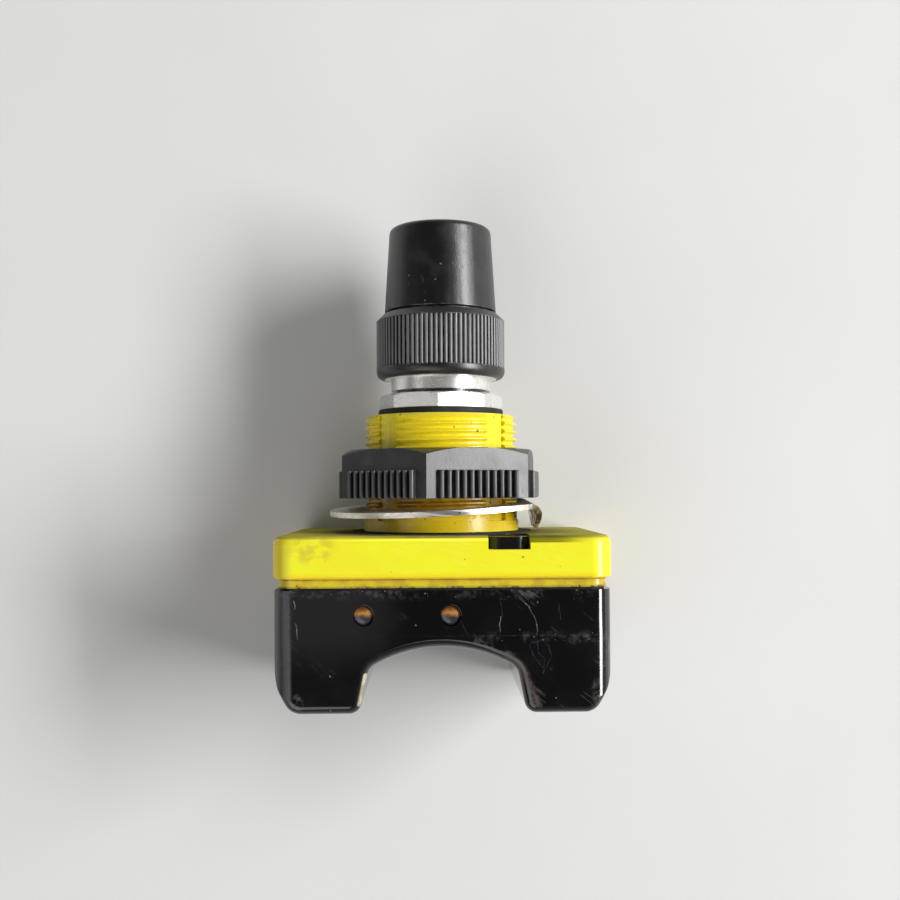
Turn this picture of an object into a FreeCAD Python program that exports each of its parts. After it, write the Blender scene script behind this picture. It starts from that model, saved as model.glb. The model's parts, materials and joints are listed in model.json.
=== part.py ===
import FreeCAD, Part
import math
import os

# Optical touch button for a machine's hand control, in millimetres.
# The stem runs along +Y from the panel seat at Y = 0, the two towers point at the operator along -Y,
# and the face with the indicators looks up along +Z.

Vector = FreeCAD.Vector
ORIGIN = Vector(0, 0, 0)
STEM_AXIS = Vector(0, 1, 0)
FULL_TURN = 360.0
SAME_PLACE = 1e-4
HEX_SIDES = 6

# Clearances
THREAD_CLEARANCE = 0.05
SEAT_CLEARANCE = 0.1
MOTION_CLEARANCE = 0.2
CUT_MARGIN = 1.0

# Panel gasket
GASKET_THICKNESS = 1.5
GASKET_PROUD = 0.3
GASKET_WIDTH = 2.2
GASKET_KEY_SETBACK = 1.2
GASKET_KEY_ROUND = 2.4
GASKET_KEY_DROP = 0.3

# Base
BASE_WIDTH = 61.0
BASE_DEPTH = 45.0
BASE_CORNER = 4.0
BASE_BAND = 7.65
BASE_FLOOR = 2.7
BASE_WALL = 2.2
BASE_EDGE_BEVEL = 0.4
SEAT_EDGE_ROUND = 1.5
LIP_HEIGHT = 1.6
LIP_INSET = 1.0
BOARD_LEDGE = 1.5
NOTCH_CENTRE = 11.9
NOTCH_WIDTH = 7.5
NOTCH_HEIGHT = 2.5
NOTCH_DEPTH = 4.6

# Stem
STEM_RADIUS = 14.95
STEM_LENGTH = 22.3
STEM_CHAMFER = 0.8
COLLAR_STEP = 0.25
COLLAR_LENGTH = 2.0
FLUTE_COUNT = 4
FLUTE_WIDTH = 4.8
FLUTE_DEPTH = 0.85
FLUTE_FIRST_ANGLE = 45.0
WIRE_BORE_RADIUS = 9.0

# Upper housing
SEAL_THICKNESS = 0.4
SEAL_INSET = 0.3
HOUSING_SIDE_INSET = 0.3
HOUSING_FACE_INSET = 0.3
HOUSING_HEIGHT = 21.9
HOUSING_WALL = 2.2
HOUSING_CORNER = 3.5
TOWER_FLANK_RADIUS = 13.7
TOWER_FLANK_SWEEP = 33.7
TOWER_END_RADIUS = 3.1
CROWN_HEIGHT = 10.05
ARCH_RADIUS = 25.0
ARCH_HALF_SHOULDER = 13.3
ARCH_HALF_MOUTH = 14.9
SHOULDER_ROUND = 3.0
MOUTH_ROUND = 2.2
ARCH_EDGE_ROUND = 1.6

# Indicators
LED_RADIUS = 1.65
LED_LENGTH = 5.2
LED_BEVEL = 0.6
LED_BELOW_FACE = 0.3
LED_HOLE_CLEARANCE = 0.2
LED_ABOVE_ARCH = 5.6
POWER_LED_X = -14.1
OUTPUT_LED_X = 1.4
HOLDER_DEPTH = 5.5
HOLDER_WALL = 1.4
HOLDER_FACE_GAP = 0.8

# Circuit boards and what they carry
BOARD_THICKNESS = 1.6
BOARD_CORNER = 1.0
TOWER_BOARD_THICKNESS = 1.2
TOWER_BOARD_WIDTH = 18.0
TOWER_BOARD_WALL_GAP = 1.9
TOWER_BOARD_END_GAP = 2.4
BEAM_BELOW_SHOULDER = 1.0
BEAM_RADIUS = 2.5
BEAM_BEVEL = 1.0
BEAM_FLANGE_STEP = 0.4
BEAM_FLANGE = 1.0
BEAM_WINDOW_GAP = 0.5
CHIP_SIZE = (10.3, 2.4, 7.5)
SWITCH_SIZE = (8.8, 3.4, 6.4)
PACKAGE_PAIR_GAP = 5.7
PACKAGE_ROW_GAP = 4.5
CAPACITOR_RADIUS = 3.15
CAPACITOR_HEIGHT = 5.4
CAPACITOR_EDGE_GAP = 3.1

# Receptacle
RECEPTACLE_GASKET_THICKNESS = 1.3
RECEPTACLE_GASKET_EDGE = 1.05
SPIGOT_RADIUS = 10.2
SPIGOT_LENGTH = 9.6
FLANGE_SIDES = 8
FLANGE_ACROSS_FLATS = 22.5
FLANGE_THICKNESS = 2.9
FLANGE_CHAMFER = 0.5
FLANGE_TURN = -3.0
NECK_STEP = 1.3
NECK_LENGTH = 3.15
NECK_GROOVE_WIDTH = 0.75
NECK_GROOVE_DEPTH = 1.1
NOSE_RADIUS = 11.1
NOSE_LENGTH = 8.0
NOSE_CHAMFER = 0.6
NOSE_WALL = 2.4
INSERT_STEP = 0.8
INSERT_LENGTH = 14.0
INSERT_FLANGE = 1.5
CONTACT_COUNT = 5
CONTACT_CIRCLE_RADIUS = 5.2
PIN_RADIUS = 0.8
PIN_REACH = 6.5
CUP_RADIUS = 1.2
CUP_LENGTH = 4.5
WIRE_RADIUS = 1.0

# Plug and coupling nut
COUPLING_WALL = 1.6
COUPLING_MOUTH_BAND = 2.05
COUPLING_MOUTH_ROUND = 1.4
COUPLING_END_BEVEL = 1.4
COUPLING_LIP = 2.95
COUPLING_LIP_DEPTH = 1.1
COUPLING_PLAY = 0.4
RIB_COUNT = 84
RIB_DEPTH = 0.4
RIB_CREST_SHARE = 0.45
RIB_ROOT_SHARE = 0.25
PLUG_GROOVE = 0.5
PLUG_LENGTH = 16.65
PLUG_STEP = 1.05
PLUG_TAPER = 0.95
PLUG_END_ROUND = 1.1
END_ROUND_STEPS = 4
PLUG_FLANGE = 0.8
PLUG_CORE_DEPTH = 11.0
PLUG_SEAL_THICKNESS = 0.7
SOCKET_RADIUS = 1.3
SOCKET_LENGTH = 13.5
SOCKET_SETBACK = 0.5
INSERT_FACE_GAP = 0.5

# Mounting nut
NUT_WALL = 2.8
NUT_HEIGHT = 9.3
NUT_WASHER_GAP = 0.12
NUT_TURN = -8.0
NUT_CORNER_CUT = 1.2
NUT_RIB_COUNT = 11
NUT_RIB_PITCH = 1.5
NUT_RIB_WIDTH = 0.75
NUT_RIB_PROUD = 1.2
NUT_RIB_HEIGHT = 5.2

# Lock washer
WASHER_WIDTH = 6.5
WASHER_COLLAR_GAP = 0.3
WASHER_THICKNESS = 1.0
WASHER_MIDDLE = 4.45
WASHER_LEAN_SIDEWAYS = 2.6
WASHER_LEAN_FORWARD = 2.2
TAB_ANGLE = 90.0
TAB_WIDTH = 14.0
TAB_FACE = 19.0
TAB_ROOT = 0.8
TAB_SEAT_GAP = 0.3
TAB_BEND = 2.0
TONGUE_ANGLE = 135.0
TONGUE_SIDE_GAP = 0.4
TONGUE_TIP_GAP = 0.4

# Stations along the stem that follow from the sizes above
RIM_Y = -GASKET_PROUD
BAND_Y = RIM_Y - BASE_BAND
LIP_Y = BAND_Y - LIP_HEIGHT
HOUSING_Y = LIP_Y - SEAL_THICKNESS
TOWER_END_Y = HOUSING_Y - HOUSING_HEIGHT
ARCH_TOP_Y = HOUSING_Y - CROWN_HEIGHT
CAVITY_Y = RIM_Y - BASE_FLOOR
BOARD_TOP_Y = LIP_Y + BOARD_THICKNESS
BOARD_FACE_Y = LIP_Y
LED_Y = ARCH_TOP_Y + LED_ABOVE_ARCH
FLANGE_Y = STEM_LENGTH + RECEPTACLE_GASKET_THICKNESS
NECK_Y = FLANGE_Y + FLANGE_THICKNESS
NOSE_Y = NECK_Y + NECK_LENGTH
NOSE_END_Y = NOSE_Y + NOSE_LENGTH
SPIGOT_Y = STEM_LENGTH - SPIGOT_LENGTH
INSERT_SHOULDER_Y = NOSE_Y - INSERT_FLANGE
INSERT_FACE_Y = NOSE_Y
INSERT_REAR_Y = INSERT_SHOULDER_Y - INSERT_LENGTH
CUP_END_Y = INSERT_REAR_Y - CUP_LENGTH
PLUG_FACE_Y = NOSE_END_Y + PLUG_SEAL_THICKNESS
COUPLING_LIP_Y = PLUG_FACE_Y + PLUG_FLANGE + COUPLING_PLAY
COUPLING_END_Y = COUPLING_LIP_Y + COUPLING_LIP
PLUG_Y = COUPLING_END_Y + PLUG_GROOVE
PLUG_END_Y = PLUG_Y + PLUG_LENGTH
PLUG_INSERT_FACE_Y = INSERT_FACE_Y + INSERT_FACE_GAP
PLUG_CORE_END_Y = PLUG_FACE_Y + PLUG_CORE_DEPTH

# Radii that follow from what fits round the stem and the receptacle
COLLAR_RADIUS = STEM_RADIUS + COLLAR_STEP
FLUTE_ROOT_RADIUS = STEM_RADIUS - FLUTE_DEPTH
GASKET_BORE_RADIUS = COLLAR_RADIUS + SEAT_CLEARANCE
GASKET_OUTER_RADIUS = GASKET_BORE_RADIUS + GASKET_WIDTH
WASHER_BORE_RADIUS = COLLAR_RADIUS + WASHER_COLLAR_GAP
WASHER_RADIUS = WASHER_BORE_RADIUS + WASHER_WIDTH
NUT_ACROSS_FLATS = 2 * (STEM_RADIUS + NUT_WALL)
NUT_CORNER_RADIUS = NUT_ACROSS_FLATS / 2 / math.cos(math.pi / HEX_SIDES)
RECEPTACLE_GASKET_RADIUS = FLANGE_ACROSS_FLATS / 2 + RECEPTACLE_GASKET_EDGE
NECK_RADIUS = NOSE_RADIUS - NECK_STEP
NOSE_BORE_RADIUS = NOSE_RADIUS - NOSE_WALL
INSERT_RADIUS = NOSE_BORE_RADIUS - INSERT_STEP
COUPLING_RADIUS = NOSE_RADIUS + COUPLING_WALL
PLUG_NECK_RADIUS = NOSE_RADIUS - COUPLING_LIP_DEPTH
PLUG_RADIUS = PLUG_NECK_RADIUS + PLUG_STEP
PLUG_END_RADIUS = PLUG_RADIUS - PLUG_TAPER

# The leaning washer sets the nut's seat and the tab's length
WASHER_LEAN = math.hypot(math.radians(WASHER_LEAN_SIDEWAYS), math.radians(WASHER_LEAN_FORWARD))
NUT_SEAT = WASHER_MIDDLE + WASHER_THICKNESS / 2 + NUT_CORNER_RADIUS * math.tan(WASHER_LEAN) + NUT_WASHER_GAP
TAB_RISE = TAB_FACE * (math.sin(math.radians(TAB_ANGLE)) * math.radians(WASHER_LEAN_SIDEWAYS)
                       - math.cos(math.radians(TAB_ANGLE)) * math.radians(WASHER_LEAN_FORWARD))
TAB_HEIGHT = WASHER_MIDDLE + TAB_RISE - TAB_SEAT_GAP

# Outside and half sizes of the housing and of the room inside the base
HOUSING_WIDTH = BASE_WIDTH - 2 * HOUSING_SIDE_INSET
HOUSING_DEPTH = BASE_DEPTH - 2 * HOUSING_FACE_INSET
LEDGE_HALF_WIDTH = BASE_WIDTH / 2 - LIP_INSET - BASE_WALL
LEDGE_HALF_DEPTH = BASE_DEPTH / 2 - LIP_INSET - BASE_WALL
CAVITY_HALF_WIDTH = LEDGE_HALF_WIDTH - BOARD_LEDGE
CAVITY_HALF_DEPTH = LEDGE_HALF_DEPTH - BOARD_LEDGE
FACE_Z = HOUSING_DEPTH / 2
TOWER_BOARD_X = HOUSING_WIDTH / 2 - HOUSING_WALL - TOWER_BOARD_WALL_GAP


# Shape helpers

def rod(radius, low_y, high_y, x=0.0, z=0.0):
    """Round bar along the stem's direction."""
    return Part.makeCylinder(radius, high_y - low_y, Vector(x, low_y, z), STEM_AXIS)


def ring(outer, inner, low_y, high_y):
    """Flat ring round the stem's axis."""
    hole = rod(inner, low_y - CUT_MARGIN, high_y + CUT_MARGIN)
    return rod(outer, low_y, high_y).cut(hole)


def lathe(profile):
    """Solid turned round the stem's axis from (radius, y) corners."""
    corners = [Vector(radius, y, 0) for radius, y in profile]
    outline = Part.makePolygon(corners + corners[:1])
    return Part.Face(outline).revolve(ORIGIN, STEM_AXIS, FULL_TURN)


def end_round(radius, end_y, size, inward):
    """(radius, y) corners of a turned part's rounded end, from its side to its face."""
    angles = [math.pi / 2 * n / END_ROUND_STEPS for n in range(END_ROUND_STEPS + 1)]
    return [(radius - size * (1 - math.cos(a)), end_y + inward * size * (1 - math.sin(a))) for a in angles]


def block(width, depth, low_y, high_y, x=0.0, z=0.0):
    """Box centred on x and z."""
    corner = Vector(x - width / 2, low_y, z - depth / 2)
    return Part.makeBox(width, high_y - low_y, depth, corner)


def rounded_block(width, depth, corner, low_y, high_y):
    """Box with its four edges along the stem's direction rounded."""
    plain = block(width, depth, low_y, high_y)
    upright = [e for e in plain.Edges if abs(e.Vertexes[0].Y - e.Vertexes[1].Y) > SAME_PLACE]
    return plain.makeFillet(corner, upright)


def edges_at(shape, y):
    """Edges that lie wholly in the plane at this height."""
    return [e for e in shape.Edges if all(abs(v.Y - y) < SAME_PLACE for v in e.Vertexes)]


def turned(shape, angle):
    """Copy turned round the stem's axis, from +Z towards +X."""
    return shape.rotated(ORIGIN, STEM_AXIS, angle)


def spanner_bar(sides, across_flats, first_corner, low_y, high_y, bevel):
    """Many-sided bar with a corner at the given angle from +Z, its corners bevelled at the far end."""
    radius = across_flats / 2 / math.cos(math.pi / sides)
    angles = [math.radians(first_corner + FULL_TURN / sides * n) for n in range(sides)]
    corners = [Vector(radius * math.sin(a), low_y, radius * math.cos(a)) for a in angles]
    outline = Part.makePolygon(corners + corners[:1])
    bar = Part.Face(outline).extrude(Vector(0, high_y - low_y, 0))
    rounding = lathe([
        (0, low_y),
        (radius, low_y),
        (radius, high_y - bevel),
        (radius - 2 * bevel, high_y),
        (0, high_y),
    ])
    return bar.common(rounding)


def contact_places():
    """Centres of the contacts on their circle."""
    step = 2 * math.pi / CONTACT_COUNT
    angles = [step * n for n in range(CONTACT_COUNT)]
    return [(CONTACT_CIRCLE_RADIUS * math.sin(a), CONTACT_CIRCLE_RADIUS * math.cos(a)) for a in angles]


# Base and panel seat

def base_housing():
    """Base with its stem: band, lip, collar and fluted stem, hollow for the board and the leads."""
    band = rounded_block(BASE_WIDTH, BASE_DEPTH, BASE_CORNER, BAND_Y, RIM_Y)
    band = band.makeFillet(SEAT_EDGE_ROUND, edges_at(band, RIM_Y))
    band = band.makeChamfer(BASE_EDGE_BEVEL, edges_at(band, BAND_Y))
    lip_width = BASE_WIDTH - 2 * LIP_INSET
    lip_depth = BASE_DEPTH - 2 * LIP_INSET
    lip = rounded_block(lip_width, lip_depth, BASE_CORNER - LIP_INSET, LIP_Y, RIM_Y - BASE_FLOOR)
    collar = rod(COLLAR_RADIUS, 0, COLLAR_LENGTH)
    stem = rod(STEM_RADIUS, CAVITY_Y, STEM_LENGTH)
    stem = stem.makeChamfer(STEM_CHAMFER, edges_at(stem, STEM_LENGTH))
    body = band.fuse([lip, collar, stem])

    recess_radius = GASKET_OUTER_RADIUS + SEAT_CLEARANCE
    recess = ring(recess_radius, STEM_RADIUS, -GASKET_THICKNESS, 0)
    room = rounded_block(2 * CAVITY_HALF_WIDTH, 2 * CAVITY_HALF_DEPTH, BOARD_CORNER, LIP_Y, CAVITY_Y)
    ledge = rounded_block(2 * LEDGE_HALF_WIDTH, 2 * LEDGE_HALF_DEPTH, BOARD_CORNER,
                          LIP_Y - CUT_MARGIN, BOARD_TOP_Y)
    wire_bore = rod(WIRE_BORE_RADIUS, CAVITY_Y - CUT_MARGIN, SPIGOT_Y)
    thread_bore = rod(SPIGOT_RADIUS + THREAD_CLEARANCE, SPIGOT_Y, STEM_LENGTH + CUT_MARGIN)
    notch = block(NOTCH_WIDTH, 2 * NOTCH_DEPTH, RIM_Y - NOTCH_HEIGHT, CUT_MARGIN,
                  NOTCH_CENTRE, BASE_DEPTH / 2)
    key_slot = gasket_key(-GASKET_THICKNESS, 0, NOTCH_WIDTH, BASE_DEPTH / 2)
    return body.cut([recess, room, ledge, wire_bore, thread_bore, notch, key_slot] + stem_flutes())


def stem_flutes():
    """Smooth lengthwise bands that interrupt the stem's thread."""
    height = STEM_RADIUS - FLUTE_ROOT_RADIUS + 2 * CUT_MARGIN
    middle = FLUTE_ROOT_RADIUS - CUT_MARGIN + height / 2
    bar = block(FLUTE_WIDTH, height, COLLAR_LENGTH, STEM_LENGTH + CUT_MARGIN, 0.0, middle)
    flute = bar.cut(rod(FLUTE_ROOT_RADIUS, 0, STEM_LENGTH + 2 * CUT_MARGIN))
    step = FULL_TURN / FLUTE_COUNT
    return [turned(flute, FLUTE_FIRST_ANGLE + step * n) for n in range(FLUTE_COUNT)]


def gasket_key(low_y, high_y, width, front_z):
    """Bar from the gasket's ring to the notch in the base's edge."""
    back_z = math.sqrt(GASKET_BORE_RADIUS ** 2 - (NOTCH_CENTRE - NOTCH_WIDTH / 2) ** 2) + SEAT_CLEARANCE
    return block(width, front_z - back_z, low_y, high_y, NOTCH_CENTRE, (front_z + back_z) / 2)


def panel_gasket():
    """Flat ring in the seat face, a little proud of the rim, with a rounded key that fills the notch."""
    flat = ring(GASKET_OUTER_RADIUS, GASKET_BORE_RADIUS, -GASKET_THICKNESS, 0)
    key_width = NOTCH_WIDTH - 2 * SEAT_CLEARANCE
    key_front = BASE_DEPTH / 2 - GASKET_KEY_SETBACK
    notch_back = BASE_DEPTH / 2 - NOTCH_DEPTH + SEAT_CLEARANCE
    key_low = RIM_Y - NOTCH_HEIGHT
    key_high = RIM_Y - GASKET_KEY_DROP
    nose = block(key_width, key_front - notch_back, key_low, key_high,
                 NOTCH_CENTRE, (key_front + notch_back) / 2)
    corners = [e for e in nose.Edges if all(abs(v.Z - key_front) < SAME_PLACE for v in e.Vertexes)
               and abs(e.Vertexes[0].Y - e.Vertexes[1].Y) > SAME_PLACE]
    nose = nose.makeFillet(GASKET_KEY_ROUND, corners)
    bridge = gasket_key(-GASKET_THICKNESS, key_high, key_width, notch_back + GASKET_KEY_SETBACK)
    return flat.fuse([bridge, nose]).removeSplitter()


def potting_compound():
    """Cast resin between the base's floor and the board, round the passage for the leads."""
    resin = rounded_block(2 * CAVITY_HALF_WIDTH, 2 * CAVITY_HALF_DEPTH, BOARD_CORNER,
                          BOARD_TOP_Y, CAVITY_Y)
    return resin.cut(rod(WIRE_BORE_RADIUS, LIP_Y, 0))


# Upper housing

def wall_line(inset):
    """Start and direction of the gap's right wall, moved into the tower by the inset."""
    centre_y = ARCH_TOP_Y - ARCH_RADIUS
    shoulder_y = centre_y + math.sqrt(ARCH_RADIUS ** 2 - ARCH_HALF_SHOULDER ** 2)
    shoulder = Vector(ARCH_HALF_SHOULDER, shoulder_y, 0)
    direction = (Vector(ARCH_HALF_MOUTH, TOWER_END_Y, 0) - shoulder).normalize()
    into_tower = Vector(-direction.y, direction.x, 0)
    return shoulder + into_tower * inset, direction


def shoulder_point(inset):
    """Where the gap's right wall meets the arch."""
    start, direction = wall_line(inset)
    reach = start - Vector(0, ARCH_TOP_Y - ARCH_RADIUS, 0)
    half = reach.dot(direction)
    short_by = reach.dot(reach) - (ARCH_RADIUS + inset) ** 2
    return start - direction * (half + math.sqrt(half ** 2 - short_by))


def wall_x(y, inset):
    """Distance of the gap's wall from the middle at this height."""
    start, direction = wall_line(inset)
    return (start + direction * ((y - start.y) / direction.y)).x


def mirrored(point):
    return Vector(-point.x, point.y, point.z)


def arc_between(centre, radius, start, end, side):
    """Arc from one angle to another below the level, opening to this side, with its two ends."""
    points = [centre + Vector(side * radius * math.cos(a), -radius * math.sin(a), 0)
              for a in (start, (start + end) / 2, end)]
    return Part.Arc(*points).toShape(), points[0], points[-1]


def tower_corner(inset, side):
    """Tower's outer end: a wide arc off the flank that runs into a tight one at the end."""
    sweep = math.radians(TOWER_FLANK_SWEEP)
    step = TOWER_FLANK_RADIUS - TOWER_END_RADIUS
    tight = Vector(side * (HOUSING_WIDTH / 2 - TOWER_FLANK_RADIUS + step * math.cos(sweep)),
                   TOWER_END_Y + TOWER_END_RADIUS, 0)
    wide = tight + Vector(-side * step * math.cos(sweep), step * math.sin(sweep), 0)
    wide_arc, flank, _ = arc_between(wide, TOWER_FLANK_RADIUS - inset, 0, sweep, side)
    tight_arc, _, end = arc_between(tight, TOWER_END_RADIUS - inset, sweep, math.pi / 2, side)
    return [wide_arc, tight_arc], end, flank


def housing_outline(inset, open_y):
    """Front outline of the housing with its two towers and the arch between them."""
    right_corner, right_end, right_flank = tower_corner(inset, 1)
    left_corner, left_end, left_flank = tower_corner(inset, -1)
    shoulder = shoulder_point(inset)
    mouth = Vector(wall_x(TOWER_END_Y + inset, inset), TOWER_END_Y + inset, 0)
    arch_top = Vector(0, ARCH_TOP_Y + inset, 0)
    right_rim = Vector(right_flank.x, open_y, 0)
    straight = [
        (mirrored(right_rim), right_rim),
        (right_rim, right_flank),
        (right_end, mouth),
        (mouth, shoulder),
        (mirrored(shoulder), mirrored(mouth)),
        (mirrored(mouth), left_end),
        (left_flank, mirrored(right_rim)),
    ]
    edges = [Part.makeLine(start, end) for start, end in straight]
    edges += right_corner + left_corner + [Part.Arc(shoulder, arch_top, mirrored(shoulder)).toShape()]
    return Part.Wire(Part.__sortEdges__(edges))


def housing_form(inset, open_y):
    """The housing's outline carried through its depth; the gap's corners are rounded, inside only the shoulders."""
    half_depth = HOUSING_DEPTH / 2 - inset
    face = Part.Face(housing_outline(inset, open_y))
    face.translate(Vector(0, 0, -half_depth))
    form = face.extrude(Vector(0, 0, 2 * half_depth))
    shoulder = shoulder_point(inset)
    mouth_x = wall_x(TOWER_END_Y + inset, inset)
    shoulders = cross_edges(form, shoulder.x, shoulder.y)
    form = form.makeFillet(SHOULDER_ROUND + inset, shoulders)
    if inset == 0:
        form = form.makeFillet(MOUTH_ROUND, cross_edges(form, mouth_x, TOWER_END_Y))
    return form


def cross_edges(shape, x, y):
    """Pair of edges that run front to back at plus and minus x."""
    chosen = []
    for edge in shape.Edges:
        ends = [vertex.Point for vertex in edge.Vertexes]
        crosses = abs(ends[0].z - ends[-1].z) > CUT_MARGIN
        if crosses and all(abs(abs(p.x) - x) + abs(p.y - y) < SAME_PLACE for p in ends):
            chosen.append(edge)
    return chosen


def upper_housing():
    """Black shell: two hollow towers, arched finger gap and two indicator holes."""
    outer = housing_form(0.0, HOUSING_Y)
    rounded = [e for e in outer.Edges if on_gap_face(e)]
    outer = outer.makeFillet(ARCH_EDGE_ROUND, rounded)
    plan = rounded_block(HOUSING_WIDTH, HOUSING_DEPTH, HOUSING_CORNER, TOWER_END_Y, HOUSING_Y)
    outer = outer.common(plan)
    inner_corner = HOUSING_CORNER - HOUSING_WALL
    inner_plan = rounded_block(HOUSING_WIDTH - 2 * HOUSING_WALL, HOUSING_DEPTH - 2 * HOUSING_WALL,
                               inner_corner, TOWER_END_Y, HOUSING_Y + CUT_MARGIN)
    inner = housing_form(HOUSING_WALL, HOUSING_Y + CUT_MARGIN).common(inner_plan)
    holes = [Part.makeCylinder(LED_RADIUS + LED_HOLE_CLEARANCE, HOUSING_WALL + 2 * CUT_MARGIN,
                               Vector(x, LED_Y, FACE_Z - HOUSING_WALL - CUT_MARGIN))
             for x in (POWER_LED_X, OUTPUT_LED_X)]
    return outer.cut([inner] + holes)


def on_gap_face(edge):
    """True for the edges of the front and back faces, apart from the rim at the base."""
    ends = [vertex.Point for vertex in edge.Vertexes]
    in_face = all(abs(abs(p.z) - FACE_Z) < SAME_PLACE for p in ends)
    same_face = abs(ends[0].z - ends[-1].z) < SAME_PLACE
    at_rim = all(abs(p.y - HOUSING_Y) < SAME_PLACE for p in ends)
    return in_face and same_face and not at_rim


def housing_seal():
    """Flat seal between the base's lip and the upper housing."""
    width = BASE_WIDTH - 2 * LIP_INSET - 2 * SEAL_INSET
    depth = BASE_DEPTH - 2 * LIP_INSET - 2 * SEAL_INSET
    corner = BASE_CORNER - LIP_INSET - SEAL_INSET
    sheet = rounded_block(width, depth, corner, HOUSING_Y, LIP_Y)
    window = rounded_block(2 * LEDGE_HALF_WIDTH, 2 * LEDGE_HALF_DEPTH, BOARD_CORNER,
                           HOUSING_Y - CUT_MARGIN, LIP_Y + CUT_MARGIN)
    return sheet.cut(window)


# Electronics

def control_board():
    """Main board on the base's ledge."""
    width = 2 * (LEDGE_HALF_WIDTH - SEAT_CLEARANCE)
    depth = 2 * (LEDGE_HALF_DEPTH - SEAT_CLEARANCE)
    return rounded_block(width, depth, BOARD_CORNER, BOARD_FACE_Y, BOARD_TOP_Y)


def tower_board(side):
    """Upright board in a tower, standing on the main board."""
    x = side * (TOWER_BOARD_X - TOWER_BOARD_THICKNESS / 2)
    end_y = TOWER_END_Y + HOUSING_WALL + TOWER_BOARD_END_GAP
    return block(TOWER_BOARD_THICKNESS, TOWER_BOARD_WIDTH, end_y, BOARD_FACE_Y, x)


def beam_part(side):
    """Infrared part on a tower board, with a bevelled lens that looks across the gap."""
    beam_y = shoulder_point(0.0).y - BEAM_BELOW_SHOULDER
    back_x = TOWER_BOARD_X - TOWER_BOARD_THICKNESS
    tip_x = wall_x(beam_y - BEAM_RADIUS, HOUSING_WALL) + BEAM_WINDOW_GAP
    inward = Vector(-side, 0, 0)
    start = Vector(side * back_x, beam_y, 0)
    lens_start = Vector(side * (tip_x + BEAM_BEVEL), beam_y, 0)
    flange = Part.makeCylinder(BEAM_RADIUS + BEAM_FLANGE_STEP, BEAM_FLANGE, start, inward)
    body = Part.makeCylinder(BEAM_RADIUS, back_x - tip_x - BEAM_BEVEL, start, inward)
    lens = Part.makeCone(BEAM_RADIUS, BEAM_RADIUS - BEAM_BEVEL, BEAM_BEVEL, lens_start, inward)
    return flange.fuse([body, lens]).removeSplitter()


def indicator_led(x):
    """Indicator with a bevelled lens whose tip stays just inside its hole."""
    tip_z = FACE_Z - LED_BELOW_FACE
    body = Part.makeCylinder(LED_RADIUS, LED_LENGTH - LED_BEVEL, Vector(x, LED_Y, tip_z - LED_LENGTH))
    lens = Part.makeCone(LED_RADIUS, LED_RADIUS - LED_BEVEL, LED_BEVEL, Vector(x, LED_Y, tip_z - LED_BEVEL))
    return body.fuse(lens)


def led_holders():
    """Right-angle holders that set the indicators off the board."""
    holders = []
    led_back_z = FACE_Z - LED_BELOW_FACE - LED_LENGTH
    middle_z = FACE_Z - HOUSING_WALL - HOLDER_FACE_GAP - HOLDER_DEPTH / 2
    half_width = LED_RADIUS + HOLDER_WALL
    for x in (POWER_LED_X, OUTPUT_LED_X):
        body = block(2 * half_width, HOLDER_DEPTH, LED_Y - half_width, BOARD_FACE_Y, x, middle_z)
        seat = Part.makeCylinder(LED_RADIUS + THREAD_CLEARANCE, HOLDER_DEPTH, Vector(x, LED_Y, led_back_z))
        holders.append(body.cut(seat))
    return Part.makeCompound(holders)


def board_pair(size, row):
    """Two equal packages side by side, in the row above or below the board's middle."""
    width, height, depth = size
    x = (PACKAGE_PAIR_GAP + width) / 2
    z = row * (PACKAGE_ROW_GAP + depth) / 2
    return Part.makeCompound([block(width, depth, BOARD_FACE_Y - height, BOARD_FACE_Y, side * x, z)
                              for side in (-1, 1)])


def smoothing_capacitor():
    z = CAPACITOR_EDGE_GAP + CAPACITOR_RADIUS - LEDGE_HALF_DEPTH
    return rod(CAPACITOR_RADIUS, BOARD_FACE_Y - CAPACITOR_HEIGHT, BOARD_FACE_Y, 0.0, z)


# Receptacle

def receptacle_shell():
    """Shell screwed into the stem: spigot, eight-sided flange, neck and coupling nose."""
    turned_part = lathe([
        (INSERT_RADIUS + SEAT_CLEARANCE, SPIGOT_Y),
        (SPIGOT_RADIUS, SPIGOT_Y),
        (SPIGOT_RADIUS, FLANGE_Y),
        (NECK_RADIUS - NECK_GROOVE_DEPTH, NECK_Y),
        (NECK_RADIUS - NECK_GROOVE_DEPTH, NECK_Y + NECK_GROOVE_WIDTH),
        (NECK_RADIUS, NECK_Y + NECK_GROOVE_WIDTH),
        (NECK_RADIUS, NOSE_Y),
        (NOSE_RADIUS, NOSE_Y),
        (NOSE_RADIUS, NOSE_END_Y - NOSE_CHAMFER),
        (NOSE_RADIUS - NOSE_CHAMFER, NOSE_END_Y),
        (NOSE_BORE_RADIUS, NOSE_END_Y),
        (NOSE_BORE_RADIUS, INSERT_SHOULDER_Y),
        (INSERT_RADIUS + SEAT_CLEARANCE, INSERT_SHOULDER_Y),
    ])
    flange = spanner_bar(FLANGE_SIDES, FLANGE_ACROSS_FLATS, FLANGE_TURN, FLANGE_Y, NECK_Y, FLANGE_CHAMFER)
    flange = flange.cut(rod(INSERT_RADIUS + SEAT_CLEARANCE, FLANGE_Y, NECK_Y))
    return turned_part.fuse(flange).removeSplitter()


def receptacle_gasket():
    return ring(RECEPTACLE_GASKET_RADIUS, SPIGOT_RADIUS + SEAT_CLEARANCE, STEM_LENGTH, FLANGE_Y)


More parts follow.
